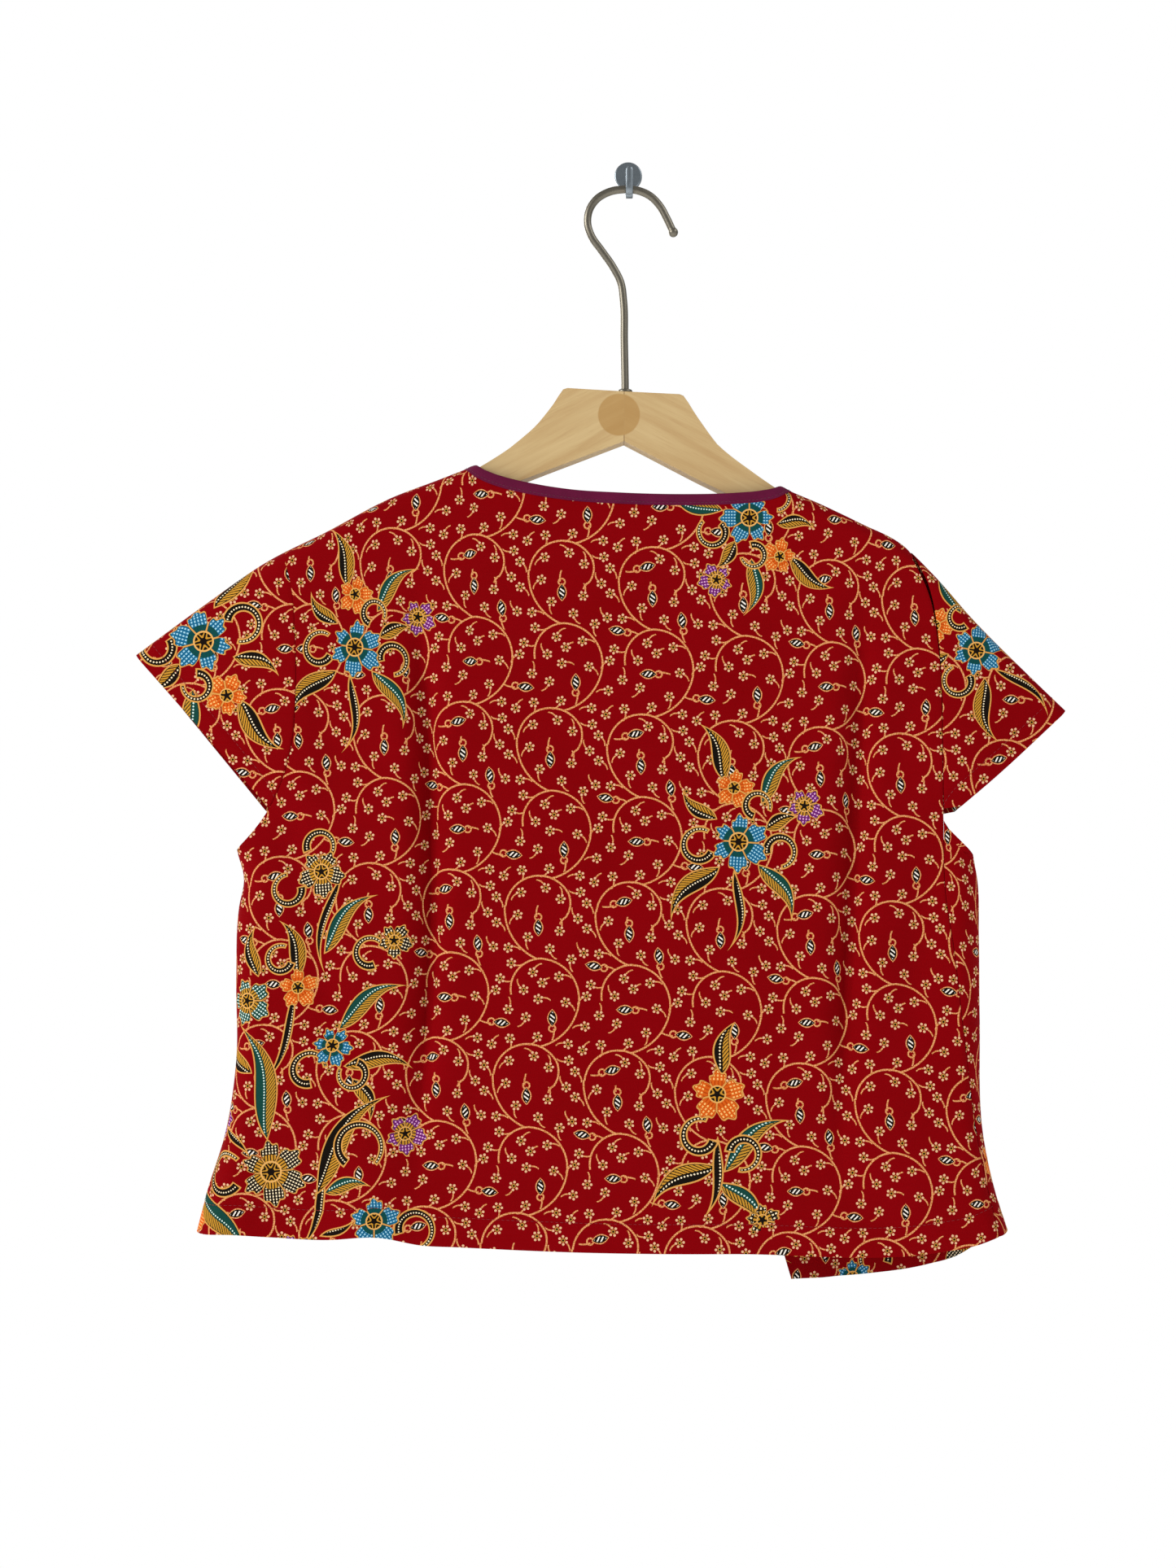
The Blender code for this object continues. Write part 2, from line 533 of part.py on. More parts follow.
def make_band(name, band, places, face, look, under=False):
    """Neck binding: a flat band with rounded edges that follows the neck edge on one face."""
    seam = np.stack([np.array(places), curve(band, places, 1)])
    edge = np.stack([curve(band, places, 2), curve(band, places, 3)])
    section = [(0.0, 0.5), (0.15, 1.0), (0.85, 1.0), (1.0, 0.4), (1.0, -0.4), (0.85, -1.0),
               (0.15, -1.0), (0.0, -0.5)]
    middle = BAND_RISE - BAND_THICK / 2.0
    corners = []
    for share, height in section:
        x, drop = seam + (edge - seam) * share
        points, normals = lift(face, x, drop, under)
        corners.append(keep_to_face(points + normals * (middle + height * BAND_THICK / 2.0), face))
    rings = np.stack(corners, axis=1)
    return rings_object(name, [list(ring) for ring in rings], look)


def add_modifier(placed, kind, **settings):
    modifier = placed.modifiers.new(kind.title(), kind)
    for key, value in settings.items():
        setattr(modifier, key, value)
    return modifier


def make_hanger(look):
    """Flat wooden hanger: its outline drawn once and pushed out to the full thickness."""
    places = []
    for start, end in zip(HANGER, HANGER[1:]):
        count = max(1, round((end[0] - start[0]) / HANGER_STEP))
        places += [start[0] + (end[0] - start[0]) * step / count for step in range(count)]
    places.append(HANGER[-1][0])
    upper = [(place, np.interp(place, [row[0] for row in HANGER], [row[1] for row in HANGER]))
             for place in places]
    lower = [(place, np.interp(place, [row[0] for row in HANGER], [row[2] for row in HANGER]))
             for place in places if not 0.0 < abs(place - HANGER_APEX) < APEX_GAP]
    outline = upper + lower[::-1]
    size = len(outline)
    front = MID_Y - HANGER_THICK / 2.0
    vertices = [(x, front, -drop) for x, drop in outline]
    vertices += [(x, front + HANGER_THICK, -drop) for x, drop in outline]
    faces = [list(range(size)), list(range(2 * size - 1, size - 1, -1))]
    faces += [[step, (step + 1) % size, (step + 1) % size + size, step + size] for step in range(size)]
    placed = add_object("hanger", vertices, faces, look)
    add_modifier(placed, "BEVEL", width=HANGER_BEVEL * MM, segments=2, limit_method="ANGLE",
                 angle_limit=math.radians(60), use_clamp_overlap=True)
    return placed


def tube(path, radii, sides):
    """Rings of points round a path in the wire's plane, with each ring's radius."""
    rings = []
    for place, centre in enumerate(path):
        before = path[max(place - 1, 0)]
        after = path[min(place + 1, len(path) - 1)]
        forward = (after - before).normalized()
        across = Vector((0.0, 1.0, 0.0))
        upward = forward.cross(across)
        ring = []
        for side in range(sides):
            angle = 2.0 * math.pi * side / sides
            ring.append(centre + (across * math.cos(angle) + upward * math.sin(angle)) * radii[place])
        rings.append(ring)
    return rings


def rings_object(name, rings, look):
    """One closed body from rings of equal size, with a flat face at each end."""
    size = len(rings[0])
    vertices = [point for ring in rings for point in ring]
    faces = []
    for ring in range(len(rings) - 1):
        for corner in range(size):
            other = (corner + 1) % size
            faces.append([ring * size + corner, ring * size + other,
                          (ring + 1) * size + other, (ring + 1) * size + corner])
    faces.append(list(range(size)))
    faces.append([(len(rings) - 1) * size + corner for corner in range(size)])
    return add_object(name, vertices, faces, look)


def make_hanger_hook(look):
    """Wire hook with a small collar where its stem meets the wood and a rounded open end."""
    stem = WIRE[0][0]
    wood_top = float(np.interp(stem, [row[0] for row in HANGER], [row[1] for row in HANGER]))
    foot = wood_top - COLLAR_GAP
    stations = [(foot, COLLAR_RADIUS), (foot - COLLAR_HEIGHT * 0.6, COLLAR_RADIUS),
                (foot - COLLAR_HEIGHT, WIRE_RADIUS + 0.6), (foot - COLLAR_HEIGHT - 0.1, WIRE_RADIUS)]
    path = [Vector((stem, MID_Y, -drop)) for drop, _ in stations]
    radii = [radius for _, radius in stations]
    wire = along(WIRE, np.linspace(0.0, 1.0, WIRE_RINGS))
    path += [Vector((x, MID_Y, -drop)) for x, drop in wire]
    radii += [WIRE_RADIUS] * len(wire)
    end = path[-1].copy()
    forward = (path[-1] - path[-2]).normalized()
    for step in range(1, 6):
        angle = math.radians(35 + 24 * step)
        path.append(end + forward * (WIRE_TIP_RADIUS * (0.8 - math.cos(angle))))
        radii.append(WIRE_TIP_RADIUS * math.sin(angle))
    return rings_object("hanger_hook", tube(path, radii, WIRE_SIDES), look)


def make_wall_hook(look):
    """Round wall plate with a flat strip bent out, down and up again to a pointed end."""
    stations = [(0.0, PLATE_RADIUS), (-PLATE_THICK + PLATE_EDGE, PLATE_RADIUS),
                (-PLATE_THICK, PLATE_RADIUS - PLATE_EDGE)]
    angles = [2.0 * math.pi * side / PLATE_SIDES for side in range(PLATE_SIDES)]
    rings = [[(radius * math.cos(angle), y, radius * math.sin(angle)) for angle in angles]
             for y, radius in stations]
    plate = rings_object("wall_hook", rings, look)
    path = [Vector((0.0, y, -drop)) for y, drop in along(STRIP, np.linspace(0.0, 1.0, STRIP_RINGS))]
    rings = []
    for place, centre in enumerate(path):
        before = path[max(place - 1, 0)]
        after = path[min(place + 1, len(path) - 1)]
        forward = (after - before).normalized()
        outward = forward.cross(Vector((1.0, 0.0, 0.0)))
        rings.append([centre + Vector((side * STRIP_WIDTH / 2.0, 0.0, 0.0)) + outward * lift_by
                      for side, lift_by in ((-1, -STRIP_THICK / 2), (1, -STRIP_THICK / 2),
                                            (1, STRIP_THICK / 2), (-1, STRIP_THICK / 2))])
    tip = Vector((0.0, STRIP_TIP[0], -STRIP_TIP[1]))
    rings.append([tip + Vector((side * STRIP_POINT, depth * STRIP_THICK / 2.0, 0.0))
                  for side, depth in ((-1, 1), (1, 1), (1, -1), (-1, -1))])
    strip = rings_object("wall_hook_strip", rings, look)
    strip.hide_render = True
    strip.display_type = "WIRE"
    add_modifier(plate, "BOOLEAN", operation="UNION", object=strip, solver="EXACT")
    return plate


def build():
    for existing in list(bpy.data.objects):
        bpy.data.objects.remove(existing)
    cotton = material("batik_cotton", (0.38, 0.005, 0.02), 0.85)
    binding = material("plum_binding", (0.10, 0.008, 0.03), 0.8)
    wood = material("pale_wood", (0.66, 0.46, 0.22), 0.5)
    nickel = material("satin_nickel", (0.5, 0.48, 0.43), 0.35, 1.0)
    steel = material("grey_steel", (0.3, 0.34, 0.38), 0.35, 1.0)
    back, seam_rows = back_net()
    over = front_over_net()
    under = front_under_net(seam_rows)
    panel_wall("back", -1, back, cotton)
    panel_wall("front_over", 1, over, cotton)
    make_front_under(under, back, seam_rows, cotton)
    left_drops = [seam_drops(net[1][:, 0], tip) for net, tip in
                  ((back, SLEEVE_TIP_BACK), (over, SLEEVE_TIP_FRONT))]
    right_drops = [seam_drops(net[1][:, -1], tip) for net, tip in
                   ((back, SLEEVE_TIP_BACK), (under, SLEEVE_TIP_FRONT))]
    make_sleeve("sleeve_left", (ARMHOLE_LEFT, ARMHOLE_LEFT), (CUFF_LEFT_BACK, CUFF_LEFT_FRONT),
                left_drops, -1.0, cotton)
    make_sleeve("sleeve_right", (BACK_EDGE_RIGHT, ARMHOLE_RIGHT), (CUFF_RIGHT_BACK, CUFF_RIGHT_FRONT),
                right_drops, 1.0, cotton)
    make_band("binding_back", BAND_BACK, neck_places(back, NECK_LEFT, NECK_RIGHT), -1, binding)
    make_band("binding_over", BAND_OVER, neck_places(over, NECK_LEFT, BAND_OVER[-1][0]), 1, binding)
    make_band("binding_under", BAND_UNDER, neck_places(under, BAND_UNDER_FROM, NECK_RIGHT), 1, binding,
              under=True)
    make_hanger(wood)
    make_hanger_hook(nickel)
    make_wall_hook(steel)


build()
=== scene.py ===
"""Red batik crop top on a wooden hanger and a wall hook, seen from the garment's back.

Tables are in millimetres. A drop is a distance below the middle of the wall hook's plate. Left and
right are as the garment's back is seen. Face -1 is the back, which looks along -Y, and 1 the front.
"""
import math
from functools import partial

import bmesh
import bpy
import numpy as np
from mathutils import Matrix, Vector


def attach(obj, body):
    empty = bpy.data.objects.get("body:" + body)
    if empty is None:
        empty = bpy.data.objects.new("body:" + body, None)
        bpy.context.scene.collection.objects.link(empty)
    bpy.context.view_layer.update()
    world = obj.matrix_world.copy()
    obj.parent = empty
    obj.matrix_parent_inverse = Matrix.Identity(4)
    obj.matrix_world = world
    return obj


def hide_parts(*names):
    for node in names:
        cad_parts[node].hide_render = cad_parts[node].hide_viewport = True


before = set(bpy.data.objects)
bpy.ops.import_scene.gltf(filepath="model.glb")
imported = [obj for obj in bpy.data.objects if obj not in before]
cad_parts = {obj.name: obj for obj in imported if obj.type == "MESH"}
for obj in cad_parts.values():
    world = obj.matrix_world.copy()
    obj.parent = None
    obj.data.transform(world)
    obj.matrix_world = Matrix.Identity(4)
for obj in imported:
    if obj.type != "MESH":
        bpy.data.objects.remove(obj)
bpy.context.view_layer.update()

MM = 0.001

# Sizes of the hanging garment
MID_Y = -30.0
SEAM_GAP = 0.3
CLOTH = 0.9
SHOULDER_ROUND = 9.0
SIDE_ROUND = 16.0
SHOULDER_COS = 0.88
FOLD_START = 0.25       # share of a long fold's length over which it deepens, and dies away
FOLD_END = 0.4
FOLD_SWELL = 0.3        # low swell beside a fold, as shares of its depth and of its squared width
FOLD_SWELL_WIDTH = 11.5
CHEST_DROP = 450.0      # heights at which the cloth meshes' columns are placed
NECK_DROP = 205.0
PANEL_HEIGHT = 440.0    # usual height of a panel, and drops near its hem and its top
PANEL_HEM = 668.0
PANEL_TOP = 240.0
BACK_SHARES = [0.0, 0.27, 0.85, 1.0]  # columns kept between the back's edges and its two valleys
UNDERARM_LEFT = 430.8
UNDERARM_RIGHT = 433.4
UNDERARM_FLARE = 1.3
TUCK = 2.6              # how far the under front lies inside the over front
TUCK_EDGE = 128.0       # x at which it starts to slip inside, and over how far it does
TUCK_SLOPE = 14.0
TUCK_TOP = 4.0          # drop below the shoulder fold at which it starts, and over how far
TUCK_FALL = 10.0
SLEEVE_FROM = 200.0     # distance from the middle at which a sleeve starts to flatten
SLEEVE_RUN = 100.0
SLEEVE_FLATTEN = 0.48
SLEEVE_END = 30.0       # drop above the underarm over which that ends
SLEEVE_POINTS = 58      # points across a sleeve
SLEEVE_ROWS = 2.6       # spacing of its rows below the shoulder fold
NECK_LEFT = -102.0
NECK_RIGHT = 100.5
HEM_FOLD = 18.0         # depth of the turned hem, where its stitching runs
CUFF_FOLD = 12.0        # the same at the sleeves
TURNED_EXTRA = 0.6      # cloth that the turning adds inside, and over how far its edge shows
TURNED_EASE = 1.5
MESH_STEP = 3.4         # spacing of the cloth meshes, and their closer places from a cut edge
EDGE_PLACES = [0.0, 0.5, 1.3, 2.6]
STITCH_PLACES = (-2.4, -1.2, -0.6, 0.0, 0.6, 1.2, 2.4)
NECK_ENDS = ((-103.0, -84.0), (80.0, 101.5))
NECK_STEP = 1.3         # spacing of the columns between those places at the neck's ends
LEAST_COLUMN = 0.5      # least distance between columns and between rows
LEAST_ROW = 0.4
HEM_STITCH = (3.0, 2.2)         # pitch and length of the stitches at the hem and at the neck
NECK_STITCH = (2.4, 1.8)
THREAD = 0.32
THREAD_PROUD = 0.12     # how far the hem's stitches stand out
# Puckers along a row of stitches: wave length and shift of three waves, and their weights
PUCKER_WAVES = ((1.45, 0.0, 1.0), (2.35, 1.3, 0.7), (0.93, 0.4, 0.6))
# Height and reach of the puckers along the hem, a neck edge, a seam, a cuff and a sleeve's seam
HEM_PUCKER = (0.28, 5.0)
NECK_PUCKER = (0.3, 5.0)
SEAM_PUCKER = (0.25, 5.0)
CUFF_PUCKER = (0.3, 4.0)
SLEEVE_PUCKER = (0.3, 5.0)
# Depth and reach of the groove that the stitches press into the hem, a seam and a cuff
HEM_GROOVE = (0.35, 0.9)
SEAM_GROOVE = (0.4, 0.8)
CUFF_GROOVE = (0.35, 1.3)
SLEEVE_SMOOTH = 0.12    # share of a sleeve's height below the shoulder fold that stays smooth
SHARP_EDGE = 52.0       # degrees from which an edge is drawn sharp
WRAP_PRINT = 110.0      # x from which the narrow front's print is laid out

# Shoulder fold over the hanger, from the left sleeve's corner to the right one's: x, drop
RIDGE = [
    (-307.6, 307.8), (-265.9, 277.3), (-225.2, 249.4), (-189.7, 231.6), (-149.0, 210.2), (-118.5, 198.5),
    (-95.6, 189.4), (-50.0, 168.0), (0.0, 152.0), (50.0, 173.0), (94.0, 202.6), (120.4, 214.3),
    (145.8, 226.5), (168.7, 238.2), (189.1, 257.5), (211.9, 283.4), (250.1, 321.6), (271.9, 342.4),
]
# Side folds: drop, x
SIDE_LEFT = [(430.8, -244.6), (447.6, -240.5), (465.4, -243.6), (508.6, -245.1), (559.5, -245.0),
             (610.3, -253.2), (640.8, -262.9), (666.0, -269.5)]
SIDE_RIGHT = [(433.4, 214.5), (447.6, 217.0), (483.2, 218.0), (534.0, 218.5), (610.3, 221.1),
              (640.8, 227.7), (666.0, 235.8)]
# Armhole seams from the shoulder to the underarm: drop, x
ARMHOLE_LEFT = [(247.2, -213.5), (266.7, -209.0), (296.7, -206.5), (331.6, -206.0), (366.7, -209.0),
                (386.7, -214.5), (402.7, -222.0), (420.2, -234.5), (430.8, -244.6)]
ARMHOLE_RIGHT = [(249.7, 175.5), (271.6, 185.0), (301.7, 190.5), (331.6, 192.5), (366.7, 193.0),
                 (410.7, 193.5), (424.2, 200.0), (433.4, 214.5)]
# The right side seam, which hangs round on the back face: drop, x
SEAM_RIGHT = [(410.7, 193.5), (456.6, 194.5), (486.7, 199.0), (541.6, 205.5), (596.6, 213.0),
              (636.7, 220.5), (666.0, 227.5)]
BACK_EDGE_RIGHT = ARMHOLE_RIGHT[:5] + SEAM_RIGHT
# Hems: x, drop
HEM_BACK = [(-269.5, 666.0), (-255.0, 665.0), (-222.0, 666.6), (-187.0, 668.1), (-157.0, 666.3),
            (-127.0, 671.7), (-107.0, 672.6), (-37.0, 675.7), (63.0, 676.6), (188.0, 676.0),
            (213.0, 671.5), (227.5, 666.5), (235.8, 665.0)]
HEM_BACK_SEAM = 666.6   # drop of the back's hem at the side seam
HEM_OVER = [(-269.5, 666.0), (-200.0, 669.0), (-100.0, 673.0), (0.0, 675.0), (120.0, 677.0)]
HEM_UNDER = [(103.2, 702.3), (148.7, 699.7), (190.0, 693.5), (210.7, 687.0), (226.0, 676.0),
             (235.8, 665.0)]
# Free edges of the two fronts: drop, x
EDGE_OVER = [(217.0, 94.0), (677.0, 120.0)]
EDGE_UNDER = [(221.5, 91.5), (686.3, 98.5), (702.3, 103.2)]
# Neck bindings: x and drop of the band's seam, x and drop of its free edge
BAND_BACK = [
    (-102.0, 191.9, -95.6, 189.4), (-97.0, 196.6, -91.0, 193.2), (-90.5, 200.4, -85.5, 195.9),
    (-79.8, 204.4, -77.0, 198.7), (-61.5, 208.7, -60.0, 202.6), (-37.7, 212.4, -37.0, 206.2),
    (-7.2, 214.5, -7.0, 208.2), (28.0, 215.5, 28.0, 209.2), (66.2, 214.6, 65.5, 208.4),
    (82.5, 213.0, 80.5, 207.1), (92.3, 210.3, 88.5, 205.4), (100.5, 205.6, 94.0, 202.6),
]
BAND_OVER = [
    (-102.0, 191.9, -95.6, 189.4), (-98.3, 199.5, -92.0, 197.0), (-92.3, 214.5, -86.0, 212.0),
    (-79.5, 236.0, -74.0, 232.0), (-59.0, 255.5, -55.0, 250.0), (-30.0, 268.3, -28.0, 262.0),
    (0.0, 271.8, 0.0, 265.5), (30.5, 267.8, 28.0, 261.5), (58.0, 254.0, 54.0, 248.5),
    (77.5, 237.0, 72.0, 233.0), (87.8, 224.8, 82.0, 221.5), (94.0, 217.0, 87.5, 214.0),
]
BAND_UNDER = [
    (91.5, 221.2, 85.2, 218.3), (96.4, 212.4, 90.0, 209.3), (99.0, 208.2, 92.6, 205.4),
    (100.5, 205.6, 94.0, 202.6),
]
BAND_UNDER_FROM = 96.4  # the under front's neck edge runs on without a band below the over front
BAND_RISE = 0.5         # binding, how far it stands proud of the panels
BAND_THICK = 2.4
BAND_STEP = 1.2
BAND_SWELL = 0.07
# Upper half of a binding's section, from its lip over the panel to its free edge: shares of its width
# and of half its thickness
BAND_SECTION = [(0.0, 0.0), (0.0, 0.68), (-0.12, 0.7), (-0.11, 0.84), (0.0, 0.9), (0.16, 0.86), (0.26, 1.0),
                (0.5, 1.08), (0.76, 1.0), (0.9, 0.8), (0.98, 0.45), (1.0, 0.0)]
BAND_STITCH = (0.13, 0.86, 0.05)  # its stitches: shares of the width and height, and how far they stand out
# Half depth of the hanging garment: drop, from the middle plane to the outside of the cloth
HALF_DEPTH = [(150.0, 14.0), (250.0, 14.2), (330.0, 15.0), (430.0, 17.0), (560.0, 20.0), (705.0, 23.0)]
# Long soft folds. Start and end drop, x at the start, middle and end, depth, half width.
FOLDS_BACK = [
    (246, 660, -131, -123.5, -134, 8, 7.5),
    (250, 660, 146, 135.5, 127, 7, 7),
    (395, 560, -214, -194, -178, 2.6, 9),
    (418, 560, 186, 178, 170, 2.2, 8),
    (560, 720, -158, -163, -168, -3, 14),
    (590, 720, 30, 34, 38, -1.6, 30),
]
FOLDS_FRONT = [
    (262, 640, -118, -112, -120, 5, 11),
    (330, 690, 26, 34, 42, 4, 13),
    (300, 640, 158, 156, 160, 4, 10),
]
# Smaller creases, read the same way, that only the cloth's surface carries
CREASES_BACK = [
    (262, 672, -131, -123.5, -134, 4, 3.3),
    (266, 672, 146, 135.5, 127, 3.4, 3.3),
    (300, 430, -196, -186, -180, 1.2, 7),
    (290, 420, 178, 170, 168, 1.1, 7),
    (430, 620, -232, -226, -222, 1.4, 8),
    (470, 640, -96, -92, -98, 0.8, 12),
    (440, 660, 92, 98, 104, 0.7, 14),
    (230, 420, -30, -22, -10, 0.7, 18),
    (520, 700, -60, -54, -50, 0.9, 16),
    (560, 700, 168, 172, 178, -1, 12),
    (600, 700, -214, -220, -228, 1, 12),
]
CREASES_FRONT = [
    (290, 440, -190, -180, -176, 1.2, 8),
    (300, 470, -60, -54, -40, 1, 14),
    (380, 660, -206, -204, -212, 1.4, 10),
    (400, 680, 78, 82, 88, 1.2, 10),
    (430, 690, -40, -36, -30, 0.9, 18),
    (290, 430, 180, 172, 170, 1, 8),
]
# Sleeve seam lines and cuffs, shoulder to tip, on the back and then on the front: x, drop
CUFF_LEFT_BACK = [(-307.6, 307.8), (-227.5, 397.8)]
CUFF_LEFT_FRONT = [(-307.6, 307.8), (-230.0, 404.5)]
CUFF_RIGHT_BACK = [(271.9, 342.4), (224.0, 385.7), (204.5, 402.0)]
CUFF_RIGHT_FRONT = [(271.9, 342.4), (226.0, 389.0), (206.0, 406.0)]
SLEEVE_TIP_BACK = 403.5
SLEEVE_TIP_FRONT = 408.5

# Hanger: x, drop of the top edge, drop of the lower edge
HANGER = [
    (-186.0, 235.5, 247.0), (-178.0, 229.6, 247.5), (-149.0, 214.3, 234.5), (-118.5, 202.6, 221.5),
    (-95.6, 193.2, 211.8), (-75.0, 180.4, 203.2), (-57.3, 165.3, 196.2), (-47.2, 152.6, 192.3),
    (-41.1, 143.4, 190.0), (-38.5, 142.6, 189.0), (-3.3, 144.7, 175.6), (31.0, 146.4, 193.5),
    (33.5, 147.4, 194.8), (41.2, 159.2, 198.8), (53.9, 176.9, 205.0), (79.2, 196.8, 217.8),
    (94.0, 206.8, 225.0), (120.4, 218.6, 237.4), (145.8, 230.7, 249.0), (166.0, 241.3, 258.0),
    (174.0, 247.6, 257.0),
]
HANGER_THICK = 16.0
HANGER_BEVEL = 3.2
HANGER_APEX = (-3.3, 175.6)
HANGER_STEP = 3.0       # spacing of the outline's points along the arms and on the block
BLOCK = (-41.1, 33.5)
BLOCK_STEP = 2.6
BLOCK_CORNERS = (-38.5, 31.0)
DISC_AT = (-6.5, 159.2)
DISC_RADIUS = 13.0
# Wire of the hanger's hook, from its stem to its open end: x, drop
WIRE = [
    (-2.6, 138.0), (-3.1, 112.1), (-3.6, 86.7), (-5.2, 75.5), (-10.2, 65.4), (-17.3, 55.2),
    (-23.4, 46.5), (-26.0, 38.5), (-25.0, 30.2), (-20.2, 23.0), (-12.6, 18.6), (-3.8, 17.0),
    (5.0, 17.6), (12.9, 21.0), (19.0, 27.2), (23.4, 35.0), (26.7, 42.0),
]
WIRE_RADIUS = 2.4
WIRE_POINTS = 150
WIRE_SIDES = 28
WIRE_TIP_RADIUS = 3.0
WIRE_TIP_ANGLES = (50.0, 8.9, 14)       # degrees from the wire, step and number of the tip's rings
WIRE_TIP_BACK = 0.66    # how far the tip's middle lies ahead of the wire's end, in tip radii
WIRE_FOOT = 0.3         # gap between the collar and the wood
# Collar where the wire's stem meets the wood: rise, radius
COLLAR = [(0.0, 4.1), (0.25, 4.45), (0.6, 4.6), (1.5, 4.6), (2.0, 4.3), (2.3, 3.6), (2.4, 2.7), (2.5, 2.4)]
# Wall hook: round plate and a strip bent up round the wire: y, drop along the strip
PLATE_RADIUS = 8.8
PLATE_THICK = 3.0
PLATE_EDGE = 1.0
PLATE_SIDES = 96
PLATE_ROUND = 6         # mesh steps round its rim
STRIP = [(-1.5, 4.0), (-13.0, 12.6), (-23.0, 19.4), (-27.4, 21.3), (-31.6, 21.2), (-34.4, 19.0),
         (-35.6, 15.0), (-36.2, 6.4)]
STRIP_TIP = (-36.3, 3.4)
STRIP_WIDTH = 4.5
STRIP_THICK = 1.2
STRIP_SOFT = 0.28       # width of the strip's bevelled edges
STRIP_POINTS = 70
# Towards the strip's tip: share of the way, share of the width
STRIP_TAPER = ((0.35, 0.8), (0.7, 0.5), (0.92, 0.24), (1.0, 0.12))

# The photograph's view: a portrait frame whose long side is 36 mm of sensor
CAMERA_AT = (-0.02572, -1.25, -0.38840)
CAMERA_LENS = 44.84
CAMERA_SENSOR = 36.0

# Families of nodes whose kind is given with a choice, such as math ADD: type, and name of that setting
FAMILIES = {
    "math": ("ShaderNodeMath", "operation"),
    "vector": ("ShaderNodeVectorMath", "operation"),
    "mix": ("ShaderNodeMix", "data_type"),
}
SEPARATE = "ShaderNodeSeparateXYZ"
COMBINE = "ShaderNodeCombineXYZ"
MAPPING = "ShaderNodeMapping"
MAP_RANGE = "ShaderNodeMapRange"
NOISE = "ShaderNodeTexNoise"
RAMP = "ShaderNodeValToRGB"
BUMP = "ShaderNodeBump"
GROUP = "ShaderNodeGroup"
COORDINATES = "ShaderNodeTexCoord"

# The print's repeat in mm, x to the right and y down the cloth: one column of vines, charted.
# The columns take turns: some flowers and pods grow only in the even columns and some only in the odd ones.
REPEAT = (56.2, 103.6)
REPEAT_LOW = (-30.5, -8.0)
REPEAT_AT = (-49.3, 445.7)
REPEAT_TURN = 4.0       # degrees
# Vines: centre, radius, start and end angle clockwise from the right
VINES = [
    ((-5.4, 20.3), 20.7, -178, -26),
    ((-0.8, 16.1), 14.6, -36, 33),
    ((15, 30), 6.9, -168, -120),
    ((6.7, 19.3), 33.3, 110, 180),
    ((-0.6, 69.1), 18.8, -194, -92),
    ((-1.6, 75.3), 24.9, -95, -3),
    ((-8.2, 74.1), 31.6, -3, 72),
]
VINE_HALF = 0.55
VINE_MARGIN = 1.0       # an arc is drawn where one of its test places comes this near to the repeat's cell
VINE_TESTS = 90
# Small flowers: x, y, direction of the stem in degrees, side to which it bows, columns that have it
FLOWERS = [
    (-2.1, 6.8, 216, 1, "all"), (-17.2, 10.6, 138, 1, "even"), (7.6, 13, 262, 1, "all"),
    (-18.3, 24.5, 127, 1, "all"), (19.5, 7.9, 185, -1, "all"), (23.8, 14.4, 54, -1, "all"),
    (19.1, 24.3, 237, -1, "all"), (25.1, 30, 41, -1, "all"), (8.4, 32.7, 269, 1, "all"),
    (-11, 37.7, 84, 1, "all"), (-22.7, 45.1, 5, -1, "all"), (3.1, 44, 52, 1, "all"),
    (16.8, 49.5, 80, 1, "even"), (24.2, 45.1, 232, -1, "all"), (-20.1, 54.4, 359, 1, "even"),
    (-6.3, 59.1, 312, -1, "all"), (-26.4, 64.3, 5, 1, "all"), (9.9, 60.6, 2, -1, "all"),
    (-0.1, 65.1, 333, -1, "all"), (-11.3, 70.2, 236, -1, "all"), (-28.6, 71.5, 131, 1, "all"),
    (-1.9, 75.2, 2, -1, "even"), (15.1, 76.1, 39, -1, "all"), (-20, 82.8, 269, 1, "all"),
    (-8.8, 86.9, 127, -1, "all"), (28, 90, 168, 1, "even"), (-0.8, 98.4, 134, -1, "all"),
    (-17.6, 100.6, 92, -1, "all"), (18.4, 101.5, 169, 1, "all"), (27.5, 104.8, 309, -1, "all"),
    (9.6, 91.2, 92, -1, "odd"),
]
FLOWER_REACH = 8.5
# Seed pods: x, y, direction of the tail in degrees, side to which it bows, columns that have it
PODS = [
    (-5, 30.6, 265, 1, "all"), (-24.5, 52.7, 7, 1, "odd"), (7.6, 87.1, 86, 1, "even"),
    (-24.3, 91.3, 183, 1, "even"), (-10.4, 12.2, 163, 1, "odd"), (14.4, 44.6, 78, -1, "odd"),
    (-3.5, 78.1, 357, 1, "odd"),
]
POD_REACH = 13.5
POD_LONG = 5.6          # half length and half width of a pod, outline included
POD_HALF = 3.1
PETAL_AT = 2.4          # a small flower's round petals: distance from its middle, and radius
PETAL_RADIUS = 0.8
